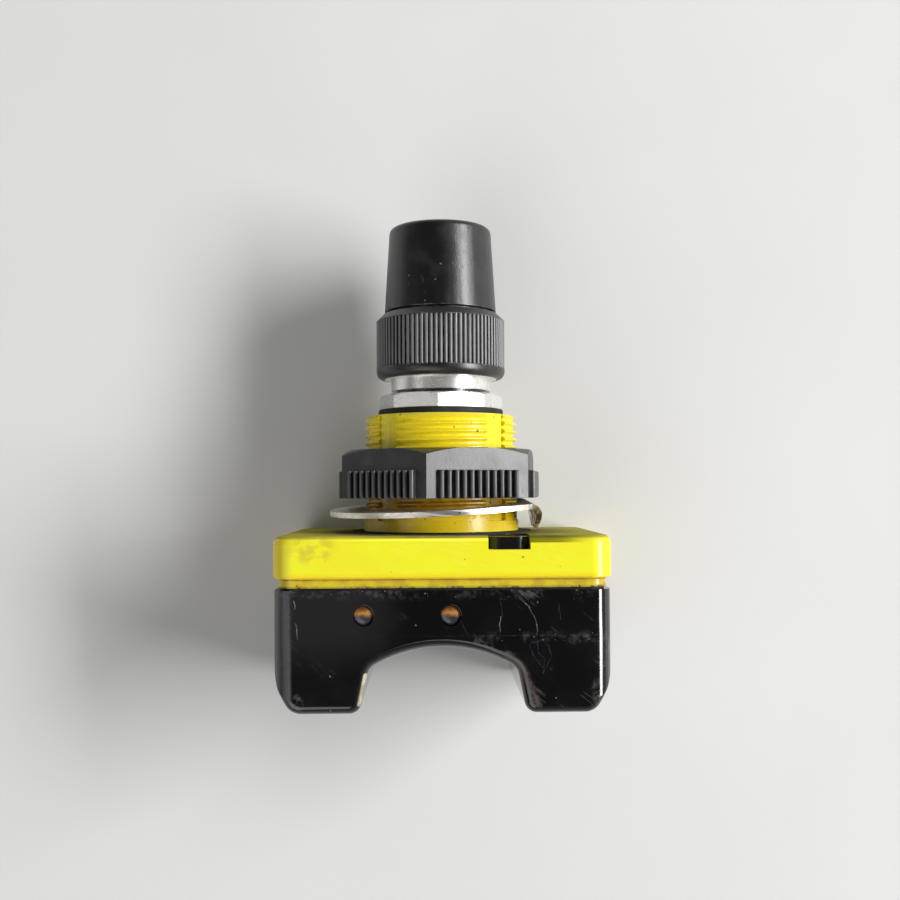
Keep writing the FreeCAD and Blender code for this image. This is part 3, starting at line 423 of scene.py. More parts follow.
def yellow_plastic():
    """Yellow moulding: darker orange on its rounded sides and along the band's lower edge as painted shade,
    grimy in the groove, dark on the seat from dirt and painted shade, and brown under the nut from dirt and
    painted shade.
    """
    material, tree, surface, place = start_finish("yellow_plastic", Specular_IOR_Level=0.45)
    x, y, z = split(tree, place)
    radius = from_axis(tree, x, z)
    on_stem = ramp(tree, y, -0.2, 0.4)
    beyond_stem = ramp(tree, radius, 15.3, 15.8)
    cloudy = blotches(tree, place, size=9.0, low=0.4, high=0.66)
    patchy = blotches(tree, place, size=3.0, low=0.42, high=0.6)
    broken = blotches(tree, place, size=1.1, low=0.48, high=0.64)
    # Painted shade: the base's rounded left and right sides and the band's lower edge turn darker orange. The
    # stem's own orange tint and the random cloudiness share this blend.
    shaded_ends = ramp(tree, maths(tree, "ABSOLUTE", x), 26.5, 30.0)
    shaded_foot = near(tree, y, BAND_FOOT_LINE, full=0.2, fade=1.3)
    lip = ramp(tree, y, -7.85, -8.1)
    stem_warmth = times(tree, on_stem, level(tree, ramp(tree, y, 14.0, 4.0), 0.5, 0.85))
    warmth_and_shade = most(tree, stem_warmth, times(tree, most(tree, shaded_ends, shaded_foot), 0.75), times(tree, cloudy, 0.18))
    colour = blend(tree, warmth_and_shade, (0.88, 0.865, 0.028, 1), (0.92, 0.62, 0.015, 1))

    colour = stain(tree, colour, 0.75, times(tree, lip, level(tree, patchy, 0.6, 1.0)), (0.46, 0.28, 0.03, 1))
    smudge = times(tree, patch(tree, x, y, middle=(-23.0, -2.6), reach=(5.2, 3.2)), patchy,
                   ramp(tree, z, 17.0, 20.0))
    colour = stain(tree, colour, 0.4, smudge, (0.45, 0.24, 0.06, 1))
    # Dark seat around the stem: dirt, with painted shade that deepens towards the stem under the washer and
    # nut.
    seat = times(tree, near(tree, y, SEAT_LINE, full=0.3, fade=0.35), beyond_stem)
    shade_by_stem = level(tree, ramp(tree, radius, 30.0, 19.0), 0.55, 0.95)
    uneven = level(tree, noise(tree, place, size=7.0, detail=6.0, roughness=0.6), 0.6, 1.3)
    colour = stain(tree, colour, 1.0, times(tree, seat, shade_by_stem, uneven), (0.10, 0.066, 0.022, 1))
    # Brown on the stem between the nut and the washer: dirt and painted shade.
    dirt_and_shade_under_nut = times(tree, near(tree, y, UNDER_NUT_LINE, full=1.5, fade=1.3), on_stem,
                      level(tree, patchy, 0.5, 1.0))
    colour = stain(tree, colour, 0.8, dirt_and_shade_under_nut, (0.38, 0.17, 0.02, 1))
    rubbed = worn_edges(tree, place, reach=0.45 * MM, cover=0.5)
    colour = stain(tree, colour, 0.22, rubbed, (0.40, 0.24, 0.05, 1))

    groove = times(tree, near(tree, y, LIP_GROOVE_LINE, full=0.08, fade=0.2), level(tree, patchy, 0.35, 0.6))
    seam = times(tree, near(tree, y, LIP_SEAM_LINE, full=0.12, fade=0.5), level(tree, broken, 0.45, 1.0))
    lip_dots = times(tree, specks(tree, place, size=1.5, cover=0.5),
                     near(tree, y, LIP_MIDDLE_LINE, full=0.6, fade=0.4))
    thread_dots = times(tree, specks(tree, place, size=1.1, cover=0.14), on_stem)
    nut_dots = times(tree, specks(tree, place, size=0.9, cover=0.7),
                     near(tree, y, WASHER_DIRT_LINE, full=1.6, fade=1.6), on_stem)
    dots = specks(tree, place, size=1.3, cover=0.06)
    valleys = times(tree, ramp(tree, radius, 14.6, 14.25), on_stem, broken)
    grime = most(tree, groove, seam, lip_dots, thread_dots, nut_dots, times(tree, dots, 0.7),
                 times(tree, valleys, 0.15))
    colour = stain(tree, colour, 0.9, grime, (0.05, 0.03, 0.012, 1))

    scuffs = hairlines(tree, place, turn=0.25, spacing=1.1, width=0.05, cover=0.48)
    dull = most(tree, grime, seat, times(tree, scuffs, 0.5))
    height = maths(tree, "SUBTRACT", noise(tree, place, size=0.5, detail=3.0), times(tree, scuffs, 0.8))
    end_finish(tree, surface, colour, level(tree, dull, 0.26, 0.95), height, depth=0.008)
    return material


def stroke(tree, x, y, start, end, width, fade):
    """Soft straight mark from one place on the front to another."""
    run_x = end[0] - start[0]
    run_y = end[1] - start[1]
    from_x = maths(tree, "SUBTRACT", x, start[0])
    from_y = maths(tree, "SUBTRACT", y, start[1])
    run = run_x ** 2 + run_y ** 2
    along = maths(tree, "ADD", times(tree, from_x, run_x / run), times(tree, from_y, run_y / run), clamp=True)
    off_x = maths(tree, "SUBTRACT", from_x, times(tree, along, run_x))
    off_y = maths(tree, "SUBTRACT", from_y, times(tree, along, run_y))
    away = maths(tree, "SQRT", maths(tree, "ADD", times(tree, off_x, off_x), times(tree, off_y, off_y)))
    return ramp(tree, away, width + fade, width)


def chain(tree, x, y, corners, width, fade):
    """Mark that runs through several places."""
    return most(tree, *[stroke(tree, x, y, a, b, width, fade) for a, b in zip(corners, corners[1:])])


def black_gloss():
    """Polished black moulding: dusty at its top edge and crease, scratched on the right and at the gap, with
    painted glints among the scratch lines, a painted highlight on the left tower's inner edge and a painted
    sheen on the left rounding.
    """
    material, tree, surface, place = start_finish("black_gloss", Specular_IOR_Level=0.75)
    x, y, z = split(tree, place)
    front = ramp(tree, z, 17.0, 19.0)
    right_half = level(tree, ramp(tree, x, -6.0, 10.0), 0.2, 1.0)
    wander = maths(tree, "SUBTRACT", noise(tree, place, size=2.5, detail=4.0, roughness=0.6), 0.5)
    bent_x = maths(tree, "ADD", x, times(tree, wander, 1.4))
    bent_y = maths(tree, "SUBTRACT", y, times(tree, wander, 1.2))
    broken = blotches(tree, place, size=1.6, low=0.45, high=0.6)
    streaky = blotches(tree, place, size=0.8, low=0.38, high=0.7)
    smear = blotches(tree, place, size=8.0, low=0.45, high=0.75)
    fine_dust = specks(tree, place, size=0.55, cover=0.35)
    loose_dust = specks(tree, place, size=0.8, cover=0.04)

    marks = most(tree, *[chain(tree, bent_x, bent_y, corners, width=0.02, fade=0.1)
                         for corners in GLOSS_SCRATCHES_AND_GLINTS])
    hairs = most(tree, *[chain(tree, bent_x, bent_y, corners, width=0.01, fade=0.08)
                         for corners in GLOSS_HAIRS])
    sweeps = hairlines(tree, place, turn=0.7, spacing=2.6, width=0.014, cover=0.45)
    uneven = level(tree, streaky, 0.35, 1.0)
    faint = times(tree, most(tree, times(tree, hairs, uneven), times(tree, sweeps, right_half)), 0.3)
    scratches_and_glints = times(tree, most(tree, times(tree, marks, uneven), faint), front)

    rim = near(tree, y, TOP_EDGE_LINE, full=0.1, fade=1.9)
    crease_side = times(tree, near(tree, y, CREASE_DUST_LINE, full=0.1, fade=1.4),
                        ramp(tree, x, 0.0, 14.0), front)
    gap_rim = times(tree, chain(tree, x, y, GAP_EDGE_DUST, width=0.2, fade=0.8), front)
    dusty = most(tree, rim, crease_side, gap_rim)
    haze = times(tree, dusty, streaky, blotches(tree, place, size=4.0, low=0.4, high=0.6))
    dust = most(tree, times(tree, dusty, fine_dust), times(tree, loose_dust, 0.7))
    crease = times(tree, near(tree, y, CREASE_LINE, full=0.02, fade=0.1), front, right_half,
                   level(tree, broken, 0.3, 1.0))

    scuffed = times(tree, chain(tree, bent_x, y, GAP_EDGE_SCUFF, width=0.1, fade=0.95), front,
                    level(tree, streaky, 0.45, 1.0))
    # Painted highlight: a yellowish line on the left tower's inner front edge.
    painted_edge_highlight = times(tree, chain(tree, x, y, GAP_EDGE_HIGHLIGHT, width=0.16, fade=0.3), ramp(tree, z, 20.2, 21.0),
                  level(tree, broken, 0.6, 1.0))
    tower_ends = most(tree, patch(tree, x, y, middle=(27.4, -28.0), reach=(1.3, 3.2)),
                      patch(tree, x, y, middle=(-25.8, -29.8), reach=(1.4, 2.0)))
    chipped = times(tree, tower_ends, most(tree, fine_dust, times(tree, streaky, 0.35)), front)

    # Left rounding: pale from handling and a painted sheen.
    handled_sheen = times(tree, ramp(tree, x, -26.4, -27.6), ramp(tree, z, 2.0, 10.0),
                    level(tree, streaky, 0.7, 1.0))
    # Paler grey over the upper left of the front.
    upper_left_paling = times(tree, ramp(tree, x, -5.0, -17.0), level(tree, ramp(tree, y, -26.0, -16.0), 0.1, 1.0), front)
    colour = blend(tree, smear, (0.003, 0.003, 0.0036, 1), (0.006, 0.0058, 0.0066, 1))
    colour = stain(tree, colour, 0.04, upper_left_paling, (0.34, 0.34, 0.35, 1))
    colour = stain(tree, colour, 0.08, handled_sheen, (0.35, 0.34, 0.35, 1))
    colour = stain(tree, colour, 0.06, crease, (0.35, 0.35, 0.37, 1))
    colour = stain(tree, colour, 0.09, haze, (0.45, 0.45, 0.46, 1))
    # Painted glints among the scratch lines: pale bluish strokes.
    colour = stain(tree, colour, 0.38, scratches_and_glints, (0.42, 0.42, 0.48, 1))
    colour = stain(tree, colour, 0.45, scuffed, (0.17, 0.115, 0.105, 1))
    colour = stain(tree, colour, 0.75, painted_edge_highlight, (0.62, 0.57, 0.38, 1))
    colour = stain(tree, colour, 0.45, chipped, (0.42, 0.38, 0.34, 1))
    colour = stain(tree, colour, 0.4, dust, (0.42, 0.41, 0.40, 1))
    dull = most(tree, scratches_and_glints, dust, scuffed, chipped, times(tree, handled_sheen, 0.8),
                times(tree, haze, 0.4), times(tree, smear, 0.1))
    height = maths(tree, "SUBTRACT", noise(tree, place, size=3.0, detail=1.0), times(tree, scratches_and_glints, 0.4))
    end_finish(tree, surface, colour, level(tree, dull, 0.08, 0.5), height, depth=0.006)
    return material


def coupling_crests(tree, place):
    """Tops of the coupling's ribs."""
    x, y, z = split(tree, place)
    along_ribs = near(tree, y, COUPLING_RIB_LINE, full=4.4, fade=0.4)
    return times(tree, along_ribs, ramp(tree, from_axis(tree, x, z), 12.52, 12.66))


def nut_crests(tree, place):
    """Tops of the ribs on the nut's six flats."""
    x, _, z = split(tree, place)
    reach = []
    for flat in range(NUT_FLATS // 2):
        angle = math.radians(NUT_FIRST_FLAT + NUT_FLAT_TURN * flat)
        sideways = times(tree, x, math.sin(angle))
        forward = times(tree, z, math.cos(angle))
        reach.append(maths(tree, "ABSOLUTE", maths(tree, "ADD", sideways, forward)))
    return ramp(tree, most(tree, *reach), 18.3, 18.75)


def black_moulding(slot, colour, find_crests, wear_and_sheen, shine, gloss, grain):
    """Satin black moulding with a fine grain, pale rubbed corners, rib tops pale where worn and with a
    painted sheen, and light scuffs.
    """
    material, tree, surface, place = start_finish(slot, Specular_IOR_Level=shine)
    rubbed = worn_edges(tree, place, reach=0.3 * MM, cover=0.6)
    scuffs = hairlines(tree, place, turn=1.45, spacing=1.0, width=0.05, cover=0.4)
    dusty = blotches(tree, place, size=4.5, low=0.45, high=0.72)
    dots = specks(tree, place, size=1.0, cover=0.05)
    # Rib tops: pale where worn, with a painted sheen along them.
    rib_top_wear_and_sheen = times(tree, find_crests(tree, place), level(tree, dusty, 0.85, 1.0))
    shade = stain(tree, colour, 0.05, dusty, PALE_WEAR_AND_SHEEN)
    shade = stain(tree, shade, wear_and_sheen, most(tree, rubbed, rib_top_wear_and_sheen, times(tree, scuffs, 0.4)), PALE_WEAR_AND_SHEEN)
    shade = stain(tree, shade, 0.5, dots, (0.30, 0.29, 0.27, 1))
    roughness = level(tree, most(tree, times(tree, dusty, 0.4), scuffs), gloss, gloss + 0.14)
    height = maths(tree, "SUBTRACT", noise(tree, place, size=grain, detail=3.0), times(tree, scuffs, 0.4))
    end_finish(tree, surface, shade, roughness, height, depth=0.018)
    return material


def rubber():
    """Dull rubber with a talc bloom, rubbed smooth where it shows in the base's notch."""
    material, tree, surface, place = start_finish("rubber_black", Specular_IOR_Level=0.4)
    _, y, z = split(tree, place)
    bloom = blotches(tree, place, size=3.5, low=0.45, high=0.75)
    smooth = times(tree, ramp(tree, z, 16.0, 18.5), near(tree, y, NOTCH_LINE, full=2.0, fade=0.5))
    shade = stain(tree, (0.012, 0.012, 0.012, 1), 0.5, bloom, (0.055, 0.053, 0.05, 1))
    shade = stain(tree, shade, 0.9, smooth, (0.005, 0.005, 0.005, 1))
    roughness = level(tree, smooth, 0.7, 0.25)
    end_finish(tree, surface, shade, roughness, noise(tree, place, size=0.35, detail=3.0), depth=0.012)
    return material


def worn_steel():
    """Washer steel: brushed, stained brown in places and rusty round its bent tab."""
    material, tree, surface, place = start_finish("steel", Metallic=1.0)
    x = split(tree, place)["X"]
    brushed = hairlines(tree, place, turn=0.1, spacing=0.6, width=0.12, cover=0.7)
    stained = blotches(tree, place, size=4.0, low=0.5, high=0.68)
    pits = specks(tree, place, size=1.0, cover=0.5)
    rusty = blotches(tree, place, size=2.0, low=0.4, high=0.58)
    by_tab = times(tree, ramp(tree, x, 14.5, 17.0), rusty)
    shade = blend(tree, times(tree, brushed, 0.4), (0.94, 0.90, 0.81, 1), (0.74, 0.70, 0.62, 1))
    shade = stain(tree, shade, 0.4, stained, (0.40, 0.32, 0.22, 1))
    shade = stain(tree, shade, 0.8, by_tab, (0.20, 0.11, 0.04, 1))
    shade = stain(tree, shade, 0.8, pits, (0.13, 0.10, 0.07, 1))
    roughness = level(tree, most(tree, stained, brushed, by_tab), 0.28, 0.5)
    height = maths(tree, "ADD", brushed, noise(tree, place, size=0.8, detail=3.0))
    end_finish(tree, surface, shade, roughness, height, depth=0.008)
    return material


def bright_metal(slot, colour, stain_colour, gloss, metallic=1.0):
    """Plated metal with turning marks, light stains and painted shade in its neck's groove."""
    material, tree, surface, place = start_finish(slot, Metallic=metallic)
    x, y, z = split(tree, place)
    turning = maths(tree, "SINE", times(tree, y, TURNING_MARKS))
    stained = blotches(tree, place, size=3.0, low=0.52, high=0.7)
    marks = hairlines(tree, place, turn=0.0, spacing=0.7, width=0.05, cover=0.46)
    pits = specks(tree, place, size=1.2, cover=0.4)
    # Painted shade: the neck's groove darkened almost to black.
    groove = times(tree, near(tree, y, NECK_GROOVE_LINE, full=0.32, fade=0.12),
                   ramp(tree, from_axis(tree, x, z), 9.75, 9.4))
    shade = stain(tree, colour, 0.35, stained, stain_colour)
    shade = stain(tree, shade, 0.6, pits, (0.20, 0.16, 0.12, 1))
    shade = stain(tree, shade, 0.93, groove, (0.02, 0.018, 0.016, 1))
    dull = most(tree, times(tree, stained, 0.4), marks, pits)
    height = maths(tree, "ADD", times(tree, turning, 0.12), noise(tree, place, size=1.5, detail=2.0))
    end_finish(tree, surface, shade, level(tree, dull, gloss, gloss + 0.25), height, depth=0.005)
    return material


def inner_moulding(slot, colour, shade_colour, gloss):
    """Plain inner piece: slight mottling and grain."""
    material, tree, surface, place = start_finish(slot)
    mottled = blotches(tree, place, size=2.0, low=0.35, high=0.7)
    shade = blend(tree, mottled, colour, shade_colour)
    roughness = level(tree, mottled, gloss, gloss + 0.12)
    end_finish(tree, surface, shade, roughness, noise(tree, place, size=0.4, detail=2.0), depth=0.01)
    return material


def circuit_board():
    """Green solder mask with copper tracks showing through."""
    material, tree, surface, place = start_finish("board")
    tracks = put(tree, "ShaderNodeTexBrick", {
        "Vector": place,
        "Scale": 0.35,
        "Mortar Size": 0.05,
        "Mortar": (1, 1, 1, 1),
        "Color1": (0, 0, 0, 1),
        "Color2": (0, 0, 0, 1),
    }).outputs
    shade = blend(tree, tracks["Color"], (0.010, 0.11, 0.035, 1), (0.04, 0.24, 0.08, 1))
    roughness = level(tree, noise(tree, place, size=1.5), 0.3, 0.45)
    end_finish(tree, surface, shade, roughness, tracks["Fac"], depth=0.02)
    return material


def amber_lens():
    """Tinted indicator lens with painted light: a painted amber reflection in its upper half, brightest at
    the middle, and painted shade in smoke grey below.
    """
    material, tree, surface, place = start_finish("amber", IOR=1.5, Coat_Weight=0.3)
    y = split(tree, place)["Y"]
    uneven = maths(tree, "ADD", y, times(tree, noise(tree, place, size=1.0, detail=3.0), 1.2))
    # Painted light on the lens: amber reflection above the line, brightest just above it, and grey shade
    # below.
    upper = ramp(tree, uneven, LED_LINE + 0.1, LED_LINE + 1.4)
    glow = ramp(tree, uneven, LED_LINE + 2.0, LED_LINE + 0.9)
    amber = blend(tree, glow, (0.11, 0.045, 0.015, 1), (0.56, 0.25, 0.06, 1))
    shade = blend(tree, upper, (0.028, 0.03, 0.036, 1), amber)
    end_finish(tree, surface, shade, level(tree, noise(tree, place, size=0.5), 0.14, 0.3))
    return material


finishes = {
    "yellow_plastic": yellow_plastic(),
    "black_gloss": black_gloss(),
    "black_nut": black_moulding("black_nut", (0.022, 0.0215, 0.024, 1), nut_crests,
                                wear_and_sheen=0.4, shine=0.8, gloss=0.36, grain=0.4),
    "black_plug": black_moulding("black_plug", (0.005, 0.005, 0.005, 1), coupling_crests,
                                 wear_and_sheen=0.85, shine=0.72, gloss=0.33, grain=0.3),
    "rubber_black": rubber(),
    "steel": worn_steel(),
    "nickel": bright_metal("nickel", (0.84, 0.825, 0.795, 1), (0.56, 0.53, 0.48, 1),
                           gloss=0.26, metallic=0.74),
    "insulator": inner_moulding("insulator", BLACK, (0.045, 0.045, 0.045, 1), gloss=0.5),
    "contact": bright_metal("contact", (0.83, 0.62, 0.25, 1), (0.55, 0.38, 0.14, 1), gloss=0.2),
    "board": circuit_board(),
    "amber": amber_lens(),
    "infrared": inner_moulding("infrared", (0.03, 0.015, 0.03, 1), (0.05, 0.03, 0.05, 1), gloss=0.12),
    "package": inner_moulding("package", BLACK, (0.04, 0.04, 0.042, 1), gloss=0.45),
    "can": bright_metal("can", (0.75, 0.75, 0.76, 1), (0.55, 0.55, 0.56, 1), gloss=0.3),
    "resin": inner_moulding("resin", (0.035, 0.035, 0.042, 1), (0.06, 0.06, 0.07, 1), gloss=0.25),
    "brown": inner_moulding("brown", (0.16, 0.06, 0.025, 1), (0.20, 0.085, 0.035, 1), gloss=0.45),
    "white": inner_moulding("white", (0.75, 0.75, 0.72, 1), (0.82, 0.82, 0.79, 1), gloss=0.45),
    "blue": inner_moulding("blue", (0.03, 0.09, 0.38, 1), (0.045, 0.12, 0.46, 1), gloss=0.45),
    "black": inner_moulding("black", BLACK, (0.035, 0.035, 0.036, 1), gloss=0.45),
    "grey": inner_moulding("grey", (0.28, 0.28, 0.29, 1), (0.36, 0.36, 0.37, 1), gloss=0.45),
}


# Pieces

def merged_copy(node):
    """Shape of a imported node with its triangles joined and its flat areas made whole."""
    shape = bmesh.new()
    shape.from_mesh(nodes[node].data)
    bmesh.ops.remove_doubles(shape, verts=shape.verts, dist=MERGE_DISTANCE)
    bmesh.ops.dissolve_limit(shape, angle_limit=FLAT_ANGLE, verts=shape.verts, edges=shape.edges)
    return shape


def sort_by_place(shape):
    """Puts a shape's elements in an order that is the same in each run."""
    shape.verts.sort(key=lambda vert: vert.co.dot(SORT_LINE))
    shape.edges.sort(key=lambda edge: (edge.verts[0].co + edge.verts[1].co).dot(SORT_LINE))
    shape.faces.sort(key=lambda face: face.calc_center_median().dot(SORT_LINE))


def bevel_edges(shape, edges, width):
    bmesh.ops.bevel(shape, geom=edges, offset=width, offset_type="OFFSET", affect="EDGES",
                    segments=BEVEL_SEGMENTS, profile=0.5, clamp_overlap=True, material=-1)


def cut_across(shape, place, normal, clear_inner=False):
    """Splits edges and faces where a plane crosses them."""
    everything = shape.verts[:] + shape.edges[:] + shape.faces[:]
    bmesh.ops.bisect_plane(shape, geom=everything, dist=MERGE_DISTANCE, plane_co=place, plane_no=normal,
                           clear_inner=clear_inner)


def soften(shape, width):
    """Breaks the sharp edges of a shape."""
    bevel_edges(shape, [edge for edge in shape.edges if edge.calc_face_angle(0.0) > SHARP_ANGLE], width)


def open_rim(shape):
    """Edges that bound an opening."""
    return [edge for edge in shape.edges if edge.is_boundary]


def extend_rim(shape):
    """Extrudes the open rim of a shape in place, and gives the new corners."""
    made = bmesh.ops.extrude_edge_only(shape, edges=open_rim(shape))["geom"]
    return [item for item in made if isinstance(item, bmesh.types.BMVert)]


def outline(shape, corners):
    """Closed outline through corners given as distance from the stem's axis and place along it."""
    verts = [shape.verts.new((radius, along, 0)) for radius, along in corners]
    return verts + [shape.edges.new((verts[n - 1], verts[n])) for n in range(len(verts))]


def plain_object(name, shape):
    """Object at the origin with this shape, smooth between its sharp edges."""
    bmesh.ops.remove_doubles(shape, verts=shape.verts, dist=SAME_PLACE)
    mesh = bpy.data.meshes.new(name)
    shape.to_mesh(mesh)
    shape.free()
    mesh.shade_smooth()
    mesh.set_sharp_from_angle(angle=SHARP_ANGLE)
    piece = bpy.data.objects.new(name, mesh)
    bpy.context.scene.collection.objects.link(piece)
    return piece


def coat(obj, finish):
    """Gives an object this finish and no other."""
    obj.data.materials.clear()
    obj.data.materials.append(finish)


def dress(piece, *replaced):
    """Gives a piece even shading and the finish and body of the nodes that it stands for."""
    piece.modifiers.new("even_faces", "WEIGHTED_NORMAL").keep_sharp = True
    slot = node_slot[replaced[0]]
    coat(piece, finishes[slot])
    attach(piece, node_body[replaced[0]])
    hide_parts(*replaced)


def combine(piece, tool, operation):
    """Cuts a tool's volume out of a piece, or joins it on, and drops the tool."""
    modifier = piece.modifiers.new("combine", "BOOLEAN")
    modifier.operation = operation
    modifier.solver = "EXACT"
    modifier.object = tool
    evaluated = piece.evaluated_get(bpy.context.evaluated_depsgraph_get())
    result = bpy.data.meshes.new_from_object(evaluated)
    piece.modifiers.clear()
    piece.data = result
    bpy.data.objects.remove(tool)


def shape_of(piece):
    """Shape of a working piece, which is dropped."""
    shape = bmesh.new()
    shape.from_mesh(piece.data)
    bpy.data.objects.remove(piece)
    return shape


def thread_cutter(end_y):
    """Helical groove that turns the stem's plain wall into a right-hand thread."""
    shape = bmesh.new()
    mouth_radius = THREAD_CREST_RADIUS + THREAD_OVERSHOOT
    corners = [
        (mouth_radius, THREAD_START - THREAD_GROOVE_MOUTH / 2),
        (mouth_radius, THREAD_START + THREAD_GROOVE_MOUTH / 2),
        (THREAD_ROOT_RADIUS, THREAD_START + THREAD_GROOVE_FLOOR / 2),
        (THREAD_ROOT_RADIUS, THREAD_START - THREAD_GROOVE_FLOOR / 2),
    ]
    turns = math.ceil((end_y - THREAD_START) / THREAD_PITCH) + 1
    steps = turns * THREAD_STEPS_PER_TURN
    climb = STEM_AXIS * THREAD_PITCH / THREAD_STEPS_PER_TURN
    bmesh.ops.spin(shape, geom=outline(shape, corners), cent=(0, 0, 0), axis=STEM_AXIS, dvec=climb,
                   angle=2 * math.pi * turns, steps=steps, use_duplicate=False)
    bmesh.ops.holes_fill(shape, edges=open_rim(shape), sides=len(corners))
    bmesh.ops.recalc_face_normals(shape, faces=shape.faces)
    return plain_object("thread_groove", shape)


def make_base():
    """Base with its thread cut into the stem."""
    blank = plain_object("base_blank", merged_copy("base_housing"))
    combine(blank, thread_cutter(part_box("base_housing")[1].y), "DIFFERENCE")
    dress(plain_object("threaded_base", shape_of(blank)), "base_housing")


def make_upper_housing():
    """Upper housing whose front and back lean in a little below the crease."""
    shape = merged_copy("upper_housing")
    cut_across(shape, (0, CREASE_Y, 0), STEM_AXIS)
    half_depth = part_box("upper_housing")[1].z
    for vert in shape.verts:
        if vert.co.y < CREASE_Y:
            vert.co.z *= 1 - (CREASE_Y - vert.co.y) * CREASE_FALL / half_depth
    for node in ("power_led", "output_led"):
        bevel_led_hole(shape, sum(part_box(node), Vector()) / 2, half_depth)
    dress(plain_object("finger_gap_housing", shape), "upper_housing")


def bevel_led_hole(shape, middle, face_z):
    """Breaks the rim of an indicator's hole in the front."""
    rim = []
    for edge in shape.edges:
        reach = max((vert.co.xy - middle.xy).length for vert in edge.verts)
        depth = max(abs(vert.co.z - face_z) for vert in edge.verts)
        if reach < LED_HOLE_REACH and depth < MERGE_DISTANCE:
            rim.append(edge)
    bevel_edges(shape, rim, LED_HOLE_BEVEL)


def make_softened(name, node, width):
    """Copy of a node with its edges broken."""
    shape = merged_copy(node)
    soften(shape, width)
    dress(plain_object(name, shape), node)


def make_nut():
    """Nut whose grip ribs are rounded."""
    shape = merged_copy("mounting_nut")
    ribs = [edge for edge in shape.edges if min(flat_reach(vert.co) for vert in edge.verts) > NUT_RIB_FACE]
    bevel_edges(shape, ribs, NUT_RIB_BEVEL)
    soften(shape, NUT_EDGE_BREAK)
    dress(plain_object("panel_nut", shape), "mounting_nut")


def flat_reach(place):
    """Distance from the nut's axis along the normal of the flat that it faces."""
    angles = [math.radians(NUT_FIRST_FLAT + NUT_FLAT_TURN * flat) for flat in range(NUT_FLATS)]
    return max(place.x * math.sin(angle) + place.z * math.cos(angle) for angle in angles)


def make_coupling():
    """Coupling whose grip ribs are rounded."""
    shape = merged_copy("coupling_nut")
    ribs = [edge for edge in shape.edges if edge.calc_face_angle(0.0) > SHARP_ANGLE
            and min(vert.co.xz.length for vert in edge.verts) > COUPLING_RIB_FACE
            and abs(edge.verts[0].co.y - edge.verts[1].co.y) > COUPLING_RIB_BEVEL]
    bevel_edges(shape, ribs, COUPLING_RIB_BEVEL)
    soften(shape, COUPLING_EDGE_BREAK)
    dress(plain_object("ribbed_coupling", shape), "coupling_nut")


def washer_bar(name, width, inner, outer, turn):
    """Flat bar on the washer, out from its axis."""
    shape = bmesh.new()
    bmesh.ops.create_cube(shape, size=1.0)
    bmesh.ops.scale(shape, verts=shape.verts, vec=(outer - inner, WASHER_THICKNESS, width))
    bmesh.ops.translate(shape, verts=shape.verts, vec=((outer + inner) / 2, 0, 0))
    bmesh.ops.rotate(shape, verts=shape.verts, matrix=Matrix.Rotation(turn, 3, "Y"))
    return plain_object(name, shape)


def washer_blank():
    """Flat ring with a tab outside and a tongue inside."""
    shape = bmesh.new()
    half = WASHER_THICKNESS / 2
    corners = [(WASHER_BORE, -half), (WASHER_RADIUS, -half), (WASHER_RADIUS, half), (WASHER_BORE, half)]
    bmesh.ops.spin(shape, geom=outline(shape, corners), cent=(0, 0, 0), axis=STEM_AXIS, angle=2 * math.pi,
                   steps=WASHER_STEPS, use_merge=True, use_duplicate=False)
    bmesh.ops.recalc_face_normals(shape, faces=shape.faces)
    piece = plain_object("washer_blank", shape)
    middle = (WASHER_BORE + WASHER_RADIUS) / 2
    tab = washer_bar("tab", WASHER_TAB_WIDTH, middle, WASHER_TAB_END, 0.0)
    combine(piece, tab, "UNION")
    tongue_turn = WASHER_TONGUE_TURN - math.pi / 2
    tongue = washer_bar("tongue", WASHER_TONGUE_WIDTH, WASHER_TONGUE_TIP, middle, tongue_turn)
    combine(piece, tongue, "UNION")
    return piece


def bend_down(place):
    """Place on the flat washer after its edge is bent down round a bar."""
    past = place.x - WASHER_BEND_X
    if past <= 0:
        return place
    angle = min(past / WASHER_BEND_RADIUS, math.pi / 2)
    straight = past - angle * WASHER_BEND_RADIUS
    radius = WASHER_BEND_RADIUS + place.y
    x = WASHER_BEND_X + radius * math.sin(angle) + straight * math.cos(angle)
    y = radius * math.cos(angle) - WASHER_BEND_RADIUS - straight * math.sin(angle)
    return Vector((x, y, place.z))


def make_washer():
    """Washer with one edge and its tab bent down, leaning on the stem."""
    shape = shape_of(washer_blank())
    sort_by_place(shape)
    bmesh.ops.dissolve_limit(shape, angle_limit=FLAT_ANGLE, verts=shape.verts, edges=shape.edges)
    sort_by_place(shape)
    soften(shape, WASHER_EDGE_BREAK)
    sort_by_place(shape)
    station = WASHER_BEND_X
    while station < WASHER_TAB_END:
        cut_across(shape, (station, 0, 0), (1, 0, 0))
        station += WASHER_BEND_STEP
    for vert in shape.verts:
        vert.co = bend_down(vert.co)
    lean = Matrix.Rotation(WASHER_LEAN_FORWARD, 3, "X") @ Matrix.Rotation(WASHER_LEAN_SIDEWAYS, 3, "Z")
    bmesh.ops.rotate(shape, verts=shape.verts, matrix=lean)
    bmesh.ops.translate(shape, verts=shape.verts, vec=STEM_AXIS * WASHER_MIDDLE)
    dress(plain_object("tab_washer", shape), "lock_washer")


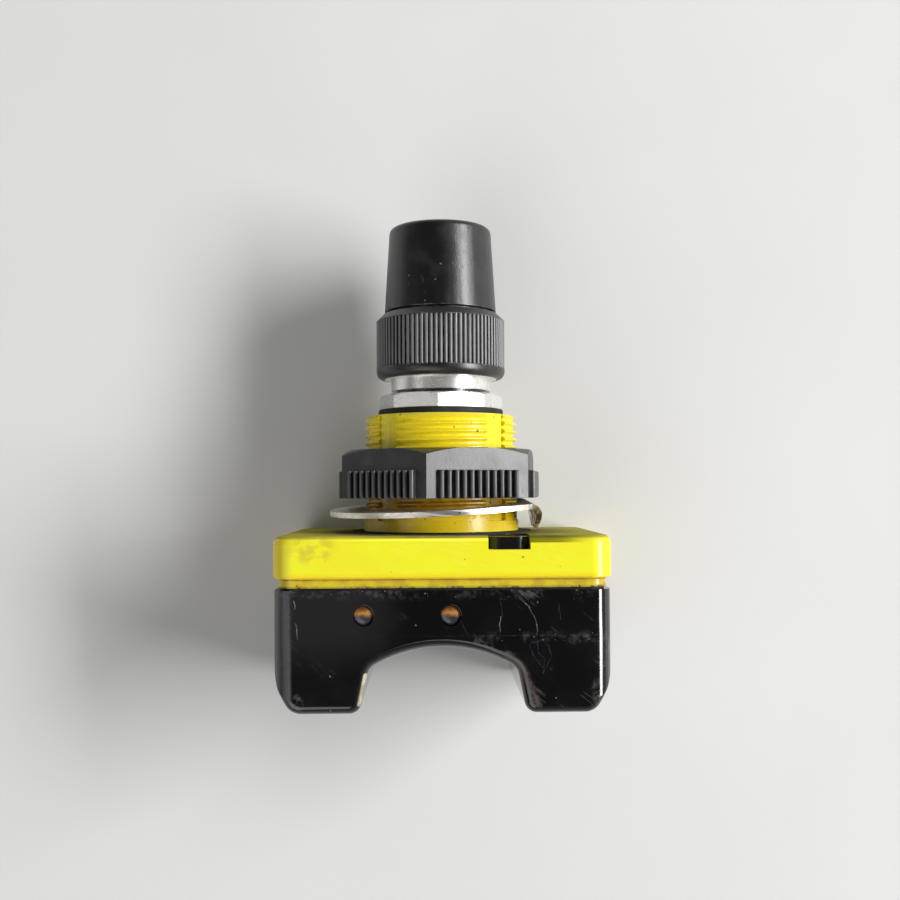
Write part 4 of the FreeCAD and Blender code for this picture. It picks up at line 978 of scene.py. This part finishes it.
def make_led(name, node):
    """Indicator with a low dome that fills its hole."""
    low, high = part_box(node)
    radius = (high.x - low.x) / 2
    collar = radius + LED_COLLAR
    dome = collar * LED_FLATNESS
    shape = bmesh.new()
    bmesh.ops.create_uvsphere(shape, u_segments=LED_SEGMENTS, v_segments=LED_RINGS, radius=collar)
    cut_across(shape, (0, 0, 0), UP, clear_inner=True)
    bmesh.ops.scale(shape, verts=shape.verts, vec=(1, 1, LED_FLATNESS))
    bmesh.ops.translate(shape, verts=extend_rim(shape), vec=-UP * LED_COLLAR_HEIGHT)
    bmesh.ops.scale(shape, verts=extend_rim(shape), vec=(radius / collar, radius / collar, 1))
    stalk = high.z - dome - LED_COLLAR_HEIGHT - low.z
    bmesh.ops.translate(shape, verts=extend_rim(shape), vec=-UP * stalk)
    bmesh.ops.holes_fill(shape, edges=open_rim(shape), sides=LED_SEGMENTS)
    bmesh.ops.recalc_face_normals(shape, faces=shape.faces)
    middle = (low + high) / 2
    bmesh.ops.translate(shape, verts=shape.verts, vec=(middle.x, middle.y, high.z - dome))
    dress(plain_object(name, shape), node)


make_base()
make_upper_housing()
make_nut()
make_washer()
make_softened("nickel_shell", "receptacle_shell", SHELL_EDGE_BREAK)
make_coupling()
make_softened("tapered_plug", "plug_body", PLUG_EDGE_BREAK)
make_softened("seat_gasket", "panel_gasket", SEAT_GASKET_EDGE_BREAK)
make_softened("flange_gasket", "receptacle_gasket", FLANGE_GASKET_EDGE_BREAK)
make_led("power_lens", "power_led")
make_led("output_lens", "output_led")

for name, obj in nodes.items():
    coat(obj, finishes[node_slot[name]])


# Floor, light and camera

def make_floor():
    shape = bmesh.new()
    bmesh.ops.create_circle(shape, cap_ends=True, radius=FLOOR_RADIUS, segments=FLOOR_SEGMENTS)
    bmesh.ops.translate(shape, verts=shape.verts, vec=(0, 0, cad_low.z))
    floor = plain_object("floor", shape)
    material, tree, surface, place = start_finish("floor")
    shade = blend(tree, noise(tree, place, size=60.0, detail=4.0), FLOOR_SHADE, FLOOR_LIGHT)
    end_finish(tree, surface, shade, level(tree, noise(tree, place, size=8.0), 0.75, 0.85))
    coat(floor, material)


def make_lamp(name, place, width, height, power):
    """Soft box that faces the object."""
    data = bpy.data.lights.new(name, "AREA")
    data.shape = "RECTANGLE"
    data.size = width
    data.size_y = height
    data.energy = power
    lamp = bpy.data.objects.new(name, data)
    lamp.location = place
    lamp.rotation_euler = (OBJECT_MIDDLE - Vector(place)).to_track_quat("-Z", "Y").to_euler()
    bpy.context.scene.collection.objects.link(lamp)


def make_camera():
    data = bpy.data.cameras.new("camera")
    data.sensor_width = SENSOR_WIDTH
    data.lens = SENSOR_WIDTH * FOCAL_PIXELS / IMAGE_PIXELS
    data.clip_start = CAMERA_NEAR
    camera = bpy.data.objects.new("camera", data)
    camera.location = CAMERA_PLACE
    camera.rotation_euler = CAMERA_TURN
    bpy.context.scene.collection.objects.link(camera)
    bpy.context.scene.camera = camera


def make_world():
    """Soft light all round, weaker overhead and on the side away from the key, with a pale horizon."""
    world = bpy.data.worlds.new("studio")
    world.use_nodes = True
    tree = world.node_tree
    x, _, z = split(tree, tree.nodes.new("ShaderNodeTexCoord").outputs["Generated"])
    height = level(tree, ramp(tree, z, HORIZON_TOP, OVERHEAD_FROM), HORIZON_LIGHT, OVERHEAD_LIGHT)
    sky = times(tree, height, level(tree, ramp(tree, x, DIM_SIDE_FROM, DIM_SIDE_TO), DIM_SIDE, 1.0))
    band = times(tree, near(tree, z, 0.0, HORIZON_BAND_FULL, HORIZON_BAND_FADE), HORIZON_BAND)
    strength = most(tree, sky, band)
    background = tree.nodes["Background"]
    background.inputs["Color"].default_value = (1, 1, 1, 1)
    tree.links.new(strength, background.inputs["Strength"])
    bpy.context.scene.world = world


make_floor()
make_lamp("key", (1.48, 0.19, 1.08), width=1.50, height=0.52, power=45.0)
make_lamp("fill", (-0.75, -1.05, 1.38), width=1.50, height=1.50, power=11.2)
make_lamp("card", (-1.50, -0.12, 1.15), width=0.60, height=0.75, power=1.7)
make_camera()
make_world()
bpy.context.scene.view_settings.view_transform = "Standard"
